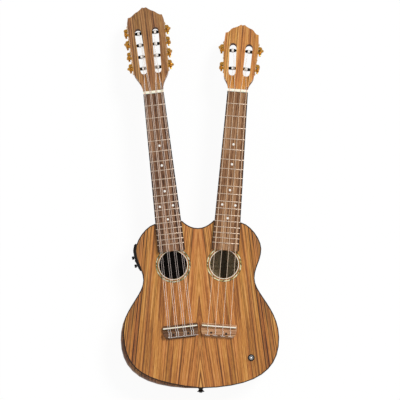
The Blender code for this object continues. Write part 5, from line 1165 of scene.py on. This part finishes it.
def rope_inlay(strings, tones):
    """Slips of wood: the whole part of slips x (angle / full turn) + lean x radius is a slip's number."""
    material, node = start_finish(f"inlaid_slips_{strings}", Roughness=0.32, IOR=1.5,
                                  Specular_IOR_Level=0.3)
    x, y = grain_place(node, shift(*hole_centre(strings)))[:2]
    angle = node("Math", {0: y, 1: x}, operation="ARCTAN2")
    slips = node("Math", {0: angle, 1: ROPE_SLIPS / (2 * math.pi)}, operation="MULTIPLY")
    radius = node("VectorMath", {0: node("CombineXYZ", {0: x, 1: y})}, operation="LENGTH").outputs["Value"]
    place = node("Math", {0: radius, 1: ROPE_LEAN, 2: slips}, operation="MULTIPLY_ADD")
    number = node("Math", {0: place}, operation="FLOOR")
    spread = node("Math", {0: number, 1: GOLDEN_SHARE}, operation="MULTIPLY")
    chance = node("Math", {0: spread}, operation="FRACT")
    colour = node("ValToRGB", {0: chance}, [(index / len(tones), tone) for index, tone in enumerate(tones)])
    colour.color_ramp.interpolation = "CONSTANT"
    within = node("Math", {0: place}, operation="FRACT")
    joint = node("MapRange", {0: within, 1: 0.0, 2: JOINT_WIDTH, 3: JOINT_SHADE, 4: 1.0})
    shaded = node("Mix", {FACTOR: 1.0, BELOW: colour, ABOVE: joint}, data_type="RGBA",
                  blend_type="MULTIPLY")
    connect(material, Base_Color=shaded)
    return material


print("slips in a rosette:", ROPE_SLIPS)

# %% Rings round the sound holes
RING_LIFT, RING_SUNK = 0.12, 0.3
CREAM_RING, ROPE_RING = (26.0, 27.1), (29.6, 31.7)
DARK_RINGS = ((27.1, 27.5), (29.1, 29.6), (31.7, 32.2))


def ring(strings, inner, outer):
    """A flat ring on the top: a closed rectangle of radius and height, turned about the hole."""
    profile = ((inner, -RING_SUNK), (inner, RING_LIFT), (outer, RING_LIFT), (outer, -RING_SUNK),
               (inner, -RING_SUNK))
    return placed(shift(*hole_centre(strings)), lathe(profile, steps=144))


for strings in NECKS:
    make_piece(f"cream_ring_{strings}", [ring(strings, *CREAM_RING)], cream)
    make_piece(f"rope_ring_{strings}", [ring(strings, *ROPE_RING)],
               rope_inlay(strings, ROPE_TONES[strings]))
    make_piece(f"dark_rings_{strings}", [ring(strings, *edges) for edges in DARK_RINGS], dark_edge_and_slot_shade)
print("sound holes at", [np.round(hole_centre(strings)[:2], 1).tolist() for strings in NECKS])

# %% [markdown]
# ## Edge lines and head veneers
# A dark edging runs round the top, and a thin veneer covers each head's face. Both follow an edge
# that the solids already have, so they are taken from it: the faces of the wanted plane are picked
# from a merged copy of the solid, and the open edges round them are walked into loops of points.

# %% Pick the faces of one plane
CORNERS_WITHIN, PLANE_WITHIN = 0.001, 0.05
SAME_WAY = 0.999


def plane_faces(node, normal, point):
    """A merged copy of a solid, cut down to its faces in the plane through a point with a normal."""
    work = bmesh.new()
    work.from_mesh(nodes[node].data)
    bmesh.ops.remove_doubles(work, verts=work.verts, dist=CORNERS_WITHIN * MM)
    normal = np.asarray(normal, float)
    level = float(normal @ point)
    work.normal_update()
    away = [face for face in work.faces
            if float(normal @ face.normal) < SAME_WAY
            or abs(float(normal @ face.calc_center_median()) / MM - level) > PLANE_WITHIN]
    bmesh.ops.delete(work, geom=away, context="FACES")
    return work


def rims(work):
    """The open edges of a flat patch, walked into closed loops of points, the longest first."""
    following = {}
    for edge in work.edges:
        if len(edge.link_loops) == 1:
            corner = edge.link_loops[0]
            following[corner.vert] = corner.link_loop_next.vert
    loops = []
    while following:
        corner, walked = next(iter(following)), []
        while corner in following:
            walked.append(tuple(corner.co / MM))
            corner = following.pop(corner)
        loops.append(np.array(walked))
    return sorted(loops, key=lambda loop: -np.linalg.norm(loop - np.roll(loop, 1, axis=0), axis=1).sum())


top_faces = plane_faces("soundboard", (0, 0, 1), (0, 0, TOP_Z))
top_rims = rims(top_faces)
top_faces.free()
print("loops of the top:", [len(loop) for loop in top_rims])

# %% Edge line of the top
EDGE_WIDTH, EDGE_INSET = 1.8, 0.03
EDGE_SUNK, EDGE_LIFT = -0.2, 0.1
SHARPEST = 0.5


def edging(loop):
    """A closed strip inside a level loop: its inner edge is its width away along the corners' mitres."""
    back = loop - np.roll(loop, 1, axis=0)
    ahead = np.roll(loop, -1, axis=0) - loop
    back /= np.linalg.norm(back, axis=1, keepdims=True)
    ahead /= np.linalg.norm(ahead, axis=1, keepdims=True)
    mitre, square = (np.stack((-way[:, 1], way[:, 0], 0 * way[:, 0]), axis=-1)
                     for way in (back + ahead, back))
    mitre /= np.linalg.norm(mitre, axis=1, keepdims=True)
    mitre /= np.maximum((mitre * square).sum(axis=1, keepdims=True), SHARPEST)
    inner, outer = loop + mitre * EDGE_WIDTH, loop + mitre * EDGE_INSET
    rise, fall = np.array((0, 0, EDGE_LIFT)), np.array((0, 0, EDGE_SUNK))
    grid = np.stack((outer + fall, outer + rise, inner + rise, inner + fall, outer + fall))
    return np.concatenate((grid, grid[:, :1]), axis=1)


edge_strip = edging(top_rims[0])
make_piece("edge_line", [edge_strip], dark_edge_and_slot_shade)
print("corners along the edge line:", edge_strip.shape[1])

# %% Head veneers
VENEER = 0.35
for strings in NECKS:
    face = head_frame(strings)
    patch = plane_faces(f"neck_{strings}", face[:3, 2], face[:3, 3])
    mesh = bpy.data.meshes.new(f"head_veneer_{strings}")
    patch.to_mesh(mesh)
    print("head face", strings, "from", len(patch.faces), "triangles")
    patch.free()
    veneer = show(f"head_veneer_{strings}", mesh, head_veneer[strings])
    wall = veneer.modifiers.new("thickness", "SOLIDIFY")
    wall.thickness = VENEER * MM
    wall.offset = 1.0

# %% [markdown]
# ## Neck selector
# The selector's bush comes up through the top, with a flat collar that hides the hole and a square
# base below that holds the contacts. All of it is one skin: each row is a ring of points, a circle
# for what is turned and a rectangle for the base. A plated round nut sits in the bush's mouth. The
# lever is turned as well, with a ball in the bush, a thin neck and a bat tip.

# %% Bush, collar and base
SELECTOR_X, SELECTOR_Y = 93.2, -36.1
BUSH_RADIUS, MOUTH_RADIUS, COLLAR_RADIUS, BORE_RADIUS = 3.4, 3.65, 6.2, 2.35
BUSH_HEIGHT, COLLAR_HEIGHT, BORE_DEPTH = 2.6, 1.2, 6.0
COLLAR_BEVEL, BUSH_SOFT = (0.8, 0.3), 0.25
BASE_HALVES, BASE_DEPTH = (6.0, 4.8), 14.0
under_top = -PLATE_THICKNESS - SEAT
selector_place = shift(SELECTOR_X, SELECTOR_Y, TOP_Z)
bush_profile = softened(np.array((
    (BUSH_RADIUS, under_top), (BUSH_RADIUS, SEAT), (COLLAR_RADIUS, SEAT),
    (COLLAR_RADIUS, COLLAR_HEIGHT - COLLAR_BEVEL[1]), (COLLAR_RADIUS - COLLAR_BEVEL[0], COLLAR_HEIGHT),
    (MOUTH_RADIUS, COLLAR_HEIGHT), (MOUTH_RADIUS, BUSH_HEIGHT), (BORE_RADIUS, BUSH_HEIGHT),
    (BORE_RADIUS, -BORE_DEPTH), (0, -BORE_DEPTH))), BUSH_SOFT)
base_profile = ((0, under_top - BASE_DEPTH), (1, under_top - BASE_DEPTH), (1, under_top))
bush_skin = lathe(np.r_[base_profile, bush_profile], steps=64)
around = bush_skin[1, :, :2]
bush_skin[1:3, :, :2] = around / np.max(abs(around) / BASE_HALVES, axis=1, keepdims=True)
bush = make_piece("bush_and_collar", [placed(selector_place, bush_skin)], black_moulding)
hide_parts("selector_switch")
print("rings in the bush:", len(bush_skin))

# %% Nut and lever
NUT_PROFILE = ((2.8, 1.25), (3.5, 1.25), (3.58, 1.35), (3.58, 2.5), (3.4, 2.8), (3.15, 2.86), (2.95, 2.8),
               (2.8, 2.6), (2.8, 1.25))
PIVOT_DEPTH, BALL, LEVER_NECK = 3.0, 1.6, 0.8
LEVER_TIP, LEVER_HEIGHT, TIP_DOME = 1.9, 12.0, 1.1
TAPER_LOW, TAPER_HIGH = 7.0, 9.5
BALL_RINGS, TAPER_RINGS = 14, 10
ring_nut = placed(selector_place, lathe(NUT_PROFILE, steps=64))
make_piece("selector_nut", [ring_nut], chrome)
below = np.linspace(-math.pi / 2, math.acos(LEVER_NECK / BALL), BALL_RINGS)
share = np.linspace(0, 1, TAPER_RINGS)
dome = math.pi / 2 * share
swell = (LEVER_TIP - LEVER_NECK) * (1 - np.cos(math.pi * share)) / 2
lever_radius = np.r_[BALL * np.cos(below), LEVER_NECK + swell, LEVER_TIP * np.cos(dome)]
lever_height = np.r_[BALL * np.sin(below), TAPER_LOW + share * (TAPER_HIGH - TAPER_LOW),
                     LEVER_HEIGHT - TIP_DOME + TIP_DOME * np.sin(dome)]
lever_skin = lathe(np.stack((lever_radius, lever_height), axis=-1), steps=40)
lever = make_piece("turned_lever", [placed(selector_place @ shift(0, 0, -PIVOT_DEPTH), lever_skin)], chrome,
                   "selector_lever")
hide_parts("selector_lever")
print("rings in the lever:", len(lever_skin))

# %% [markdown]
# ## Preamp and its knobs
# The bezel of such a preamp carries a small dark window for its tuner, two rubber keys and four
# screws. The knobs are ribbed so that they turn under a fingertip, and a white line shows where they
# point. The photograph shows the bezel edge on, so the layout of its face is the usual one. The face
# follows the bend of the side, which is read off the solid's own corners.

# %% Outlines on the bezel
BEZEL_EDGE_Z, BEZEL_MIDDLE_Z = 19.2, 35.0
SAME_PLACE = 0.01
PAD_CORNERS = 48


def corners_of(solid):
    """A solid's corners in millimetres."""
    flat = np.empty(3 * len(nodes[solid].data.vertices))
    nodes[solid].data.vertices.foreach_get("co", flat)
    return flat.reshape(-1, 3) / MM


bezel = corners_of("preamp_housing")
bezel = bezel[abs(bezel[:, 2] - BEZEL_EDGE_Z) < SAME_PLACE]
bezel = bezel[np.argsort(bezel[:, 1])]


def pad(y, z, half_y, half_z, steps, power=0.4):
    """Outlines y = a cos t ^ power, z = b sin t ^ power, drawn in by each step, raised by its height."""
    angle = np.linspace(0, 2 * math.pi, PAD_CORNERS + 1)
    cosine, sine = np.cos(angle), np.sin(angle)
    inset, height = np.array(steps, float).T[:, :, None]
    across = y + np.maximum(half_y - inset, 0) * np.sign(cosine) * abs(cosine) ** power
    up = z + np.maximum(half_z - inset, 0) * np.sign(sine) * abs(sine) ** power
    face = np.interp(across, bezel[:, 1], bezel[:, 0])
    return np.stack((face - height, across, up), axis=-1)


print("bezel corners read:", len(bezel))

# %% Window, keys and screws
PAST_MIDDLE = 99.0
WINDOW_PLACE = (163.5, BEZEL_MIDDLE_Z, 5.6, 9.0)
KEY_Y, KEY_HALVES, KEY_FROM_MIDDLE = 143.5, (1.9, 2.8), 11.0
BEZEL_SCREW_ENDS, BEZEL_SCREW_RADIUS, SCREW_FROM_MIDDLE = (130.0, 171.5), 1.1, 14.2
FRAME_STEPS = ((0, -0.3), (0, 0.2), (0.3, 0.45), (1.1, 0.45), (1.4, 0.15), (1.4, -0.3), (0, -0.3))
GLASS_STEPS = ((1.2, -0.2), (1.2, 0.12), (1.5, 0.16), (PAST_MIDDLE, 0.16))
KEY_STEPS = ((0, -0.3), (0, 0.5), (0.25, 0.8), (0.7, 0.9), (PAST_MIDDLE, 0.9))
SCREW_STEPS = ((0, -0.2), (0, 0.15), (0.4, 0.3), (PAST_MIDDLE, 0.3))
make_piece("tuner_window_frame", [pad(*WINDOW_PLACE, FRAME_STEPS)], black_moulding)
make_piece("tuner_window", [pad(*WINDOW_PLACE, GLASS_STEPS)], dark_window)
keys = [pad(KEY_Y, BEZEL_MIDDLE_Z + hand * KEY_FROM_MIDDLE, *KEY_HALVES, KEY_STEPS) for hand in (-1, 1)]
make_piece("tuner_keys", keys, grey_rubber)
screws = [pad(y, BEZEL_MIDDLE_Z + hand * SCREW_FROM_MIDDLE, BEZEL_SCREW_RADIUS, BEZEL_SCREW_RADIUS,
              SCREW_STEPS, power=1.0) for y in BEZEL_SCREW_ENDS for hand in (-1, 1)]
make_piece("bezel_screws", screws, nickel)
print("pieces on the bezel:", 2 + len(keys) + len(screws))

# %% Knob grips and pointers
RIBS, RIB_DEPTH = 20, 0.035
KNOB_TILT = math.radians(11)
GRIP_INNER, GRIP_RADIUS, RIBBED_FROM = 2.1, 2.96, 2.9
GRIP_TOP, GRIP_LENGTH = 0.06, 3.3
GRIP_PROFILE = ((GRIP_INNER, GRIP_TOP), (2.6, GRIP_TOP), (GRIP_RADIUS, -0.3), (GRIP_RADIUS, -3.2),
                (2.7, -GRIP_LENGTH), (GRIP_INNER, -GRIP_LENGTH), (GRIP_INNER, GRIP_TOP))
POINTER_HALF, POINTER_SUNK, POINTER_TOP = 0.25, 0.1, 0.12
POINTER_FROM, POINTER_TO = 0.5, 2.3
grip = lathe(GRIP_PROFILE, steps=8 * RIBS)
angle = np.arctan2(grip[..., 1], grip[..., 0])
wide = np.hypot(grip[..., 0], grip[..., 1]) > RIBBED_FROM
grip[..., :2] *= (1 + RIB_DEPTH * wide * np.cos(RIBS * angle))[..., None]
line = bar(strip_section(POINTER_HALF, -POINTER_SUNK, POINTER_TOP), POINTER_FROM, POINTER_TO, soften=0.05)
for knob in ("volume_knob", "tone_knob"):
    stand = turn(2, math.pi + KNOB_TILT)
    corners = corners_of(knob)
    reach = corners @ stand[:3, 0]
    end = corners[reach > reach.max() - SAME_PLACE].mean(axis=0)
    stand = shift(*end) @ stand @ turn(1, math.pi / 2)
    make_piece(f"{knob}_grip", [placed(stand, grip)], black_moulding, knob, crease=50)
    make_piece(f"{knob}_pointer", [placed(stand, line)], pearl_white, knob)
    print(knob, "ends at", np.round(end, 1).tolist())

# %% [markdown]
# ## Strap button
# The strap button is a spool, turned from one rod with a narrow neck for the strap's slot, and its
# screw goes on into the tail block. Corners a few tenths of a millimetre round catch the light. The
# screw's head has a cross recess, drawn as painted shade: two thin dark bars at a right angle that
# stand a hair proud of the head.

# %% Strap button and its screw
TAIL_Y, TAIL_Z = -90.5, 35.0
SPOOL_SOFT = 0.5
SPOOL_PROFILE = ((0, -13.0), (1.6, -13.0), (1.6, SEAT), (5.05, SEAT), (3.85, 2.3), (3.85, 4.1), (6.25, 5.5),
                 (6.85, 6.3), (5.35, 7.3), (3.0, 7.3), (2.7, 8.7), (0, 8.7))
RECESS_HALF, RECESS_DEPTH, RECESS_PROUD, RECESS_REACH = 0.3, 0.5, 0.02, 1.7
RECESS_STEP = 0.01
out_of_tail = turn(0, math.pi / 2)
spool_skin = lathe(softened(np.array(SPOOL_PROFILE), SPOOL_SOFT), steps=48)
spool = make_piece("turned_strap_button", [placed(shift(0, TAIL_Y, TAIL_Z) @ out_of_tail, spool_skin)],
                   black_moulding, crease=50)
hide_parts("strap_button")
tail = corners_of("strap_button")
tail_middle = tail[tail[:, 1] < tail[:, 1].min() + SAME_PLACE].mean(axis=0)
# Painted shade: dark bars that stand for the cross recess, a hair proud of the head.
recess = bar(strip_section(RECESS_HALF, -RECESS_DEPTH, RECESS_PROUD), -RECESS_REACH, RECESS_REACH,
             soften=0.1)
stand = shift(*tail_middle) @ out_of_tail
crossed = [placed(stand @ turn(2, about) @ shift(0, 0, lift), recess)
           for about, lift in ((math.pi / 4, 0.0), (-math.pi / 4, RECESS_STEP))]
make_piece("strap_recess_shade", crossed, dark_edge_and_slot_shade)
print("strap screw at", np.round(tail_middle, 1))

# %% [markdown]
# ## Floor, light and camera
# The picture is taken from straight above with a long lens, on white. The floor is pale for all
# light, and for the camera and for reflections it is white with the shadow kept as a share of the
# light that falls on it. One broad soft lamp stands up and to the right, as the shadows beside the
# fingerboards and bridges show, and the sky fills the rest, so that a colour renders as written.

# %% Floor and sky
FLOOR_DROP, FLOOR_HALF = 0.2, 4000.0
SHADOW_SHARE, LIT_FLOOR = 0.07, 0.9
SKY_LEVEL = 0.45


def seen_directly(node):
    """One for camera, glossy and transmission rays, and none for light that only bounces."""
    path = node("LightPath")
    direct = 0.0
    for ray in ("Camera", "Glossy", "Transmission"):
        direct = node("Math", {0: direct, 1: path.outputs[f"Is {ray} Ray"]}, operation="MAXIMUM")
    return direct


def bare_nodes(holder):
    """An empty node tree in a material or a world, and a short name for adding its nodes."""
    holder.use_nodes = True
    holder.node_tree.nodes.clear()
    return partial(add_node, holder.node_tree)


pale_floor = bpy.data.materials.new("matt_pale_floor")
node = bare_nodes(pale_floor)
plain = node("BsdfDiffuse", {"Color": paint("E6E6E6")})
kept = node("BsdfDiffuse", {"Color": (SHADOW_SHARE,) * 3 + (1.0,)})
glow = node("Emission", {"Strength": 1 - SHADOW_SHARE * LIT_FLOOR})
shown = node("AddShader", {0: kept, 1: glow})
node("OutputMaterial", {0: node("MixShader", {0: seen_directly(node), 1: plain, 2: shown})})

corner = np.array((-FLOOR_HALF, FLOOR_HALF))
spread = np.stack(np.meshgrid(corner, corner, (-FLOOR_DROP,), indexing="ij"), axis=-1)[:, :, 0]
floor_mesh = bpy.data.meshes.new("floor")
floor_mesh.from_pydata((spread.reshape(-1, 3) * MM).tolist(), [], [(0, 2, 3, 1)])
floor_mesh.materials.append(pale_floor)
floor = bpy.data.objects.new("floor", floor_mesh)
bpy.context.scene.collection.objects.link(floor)
floor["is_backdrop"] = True

world = bpy.data.worlds.new("studio")
bpy.context.scene.world = world
node = bare_nodes(world)
fill = node("Background", {"Color": (1, 1, 1, 1), "Strength": SKY_LEVEL})
white = node("Background", {"Color": (1, 1, 1, 1), "Strength": 1.0})
node("OutputWorld", {0: node("MixShader", {0: seen_directly(node), 1: fill, 2: white})})
print("share of a shadow that is kept:", SHADOW_SHARE)

# %% Lamp
KEY_LEVEL = 2.0
KEY_ANGLE = math.radians(18)
KEY_TURN = (math.radians(-28), math.radians(30), 0)
key = bpy.data.lights.new("key", "SUN")
key.energy = KEY_LEVEL
key.angle = KEY_ANGLE
key_stand = bpy.data.objects.new("key", key)
key_stand.rotation_euler = KEY_TURN
bpy.context.scene.collection.objects.link(key_stand)
bpy.context.scene.view_settings.view_transform = "Standard"
print("lamp at", key.energy, "watts a square metre")

# %% Camera
VIEW_X, VIEW_Y, VIEW_WIDTH, VIEW_TURN = 4.6, 253.85, 731.7, math.radians(-1.0)
VIEW_DISTANCE = 20000.0
SENSOR = 36.0
FAR_LIMIT = 100.0
camera = bpy.data.cameras.new("camera")
camera.sensor_width = SENSOR
camera.lens = SENSOR * VIEW_DISTANCE / VIEW_WIDTH
camera.clip_end = FAR_LIMIT
stand = bpy.data.objects.new("camera", camera)
stand.location = (VIEW_X * MM, VIEW_Y * MM, (TOP_Z + VIEW_DISTANCE) * MM)
stand.rotation_euler = (0, 0, VIEW_TURN)
bpy.context.scene.collection.objects.link(stand)
bpy.context.scene.camera = stand
print("lens:", round(camera.lens, 1), "mm")

# %% [markdown]
# ## Compare the sizes
# Nothing that was added may make the object bigger than its solids. Both boxes are gathered, and the
# growth at their low and high corners is printed.

# %% Compare the boxes
dressed_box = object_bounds()
boxes = {"cad": [list(corner) for corner in cad_box], "dressed": [list(corner) for corner in dressed_box]}
growth = (np.array(boxes["dressed"]) - np.array(boxes["cad"])) / MM
print("growth at the low and high corner in mm:", np.round(growth, 2).tolist())
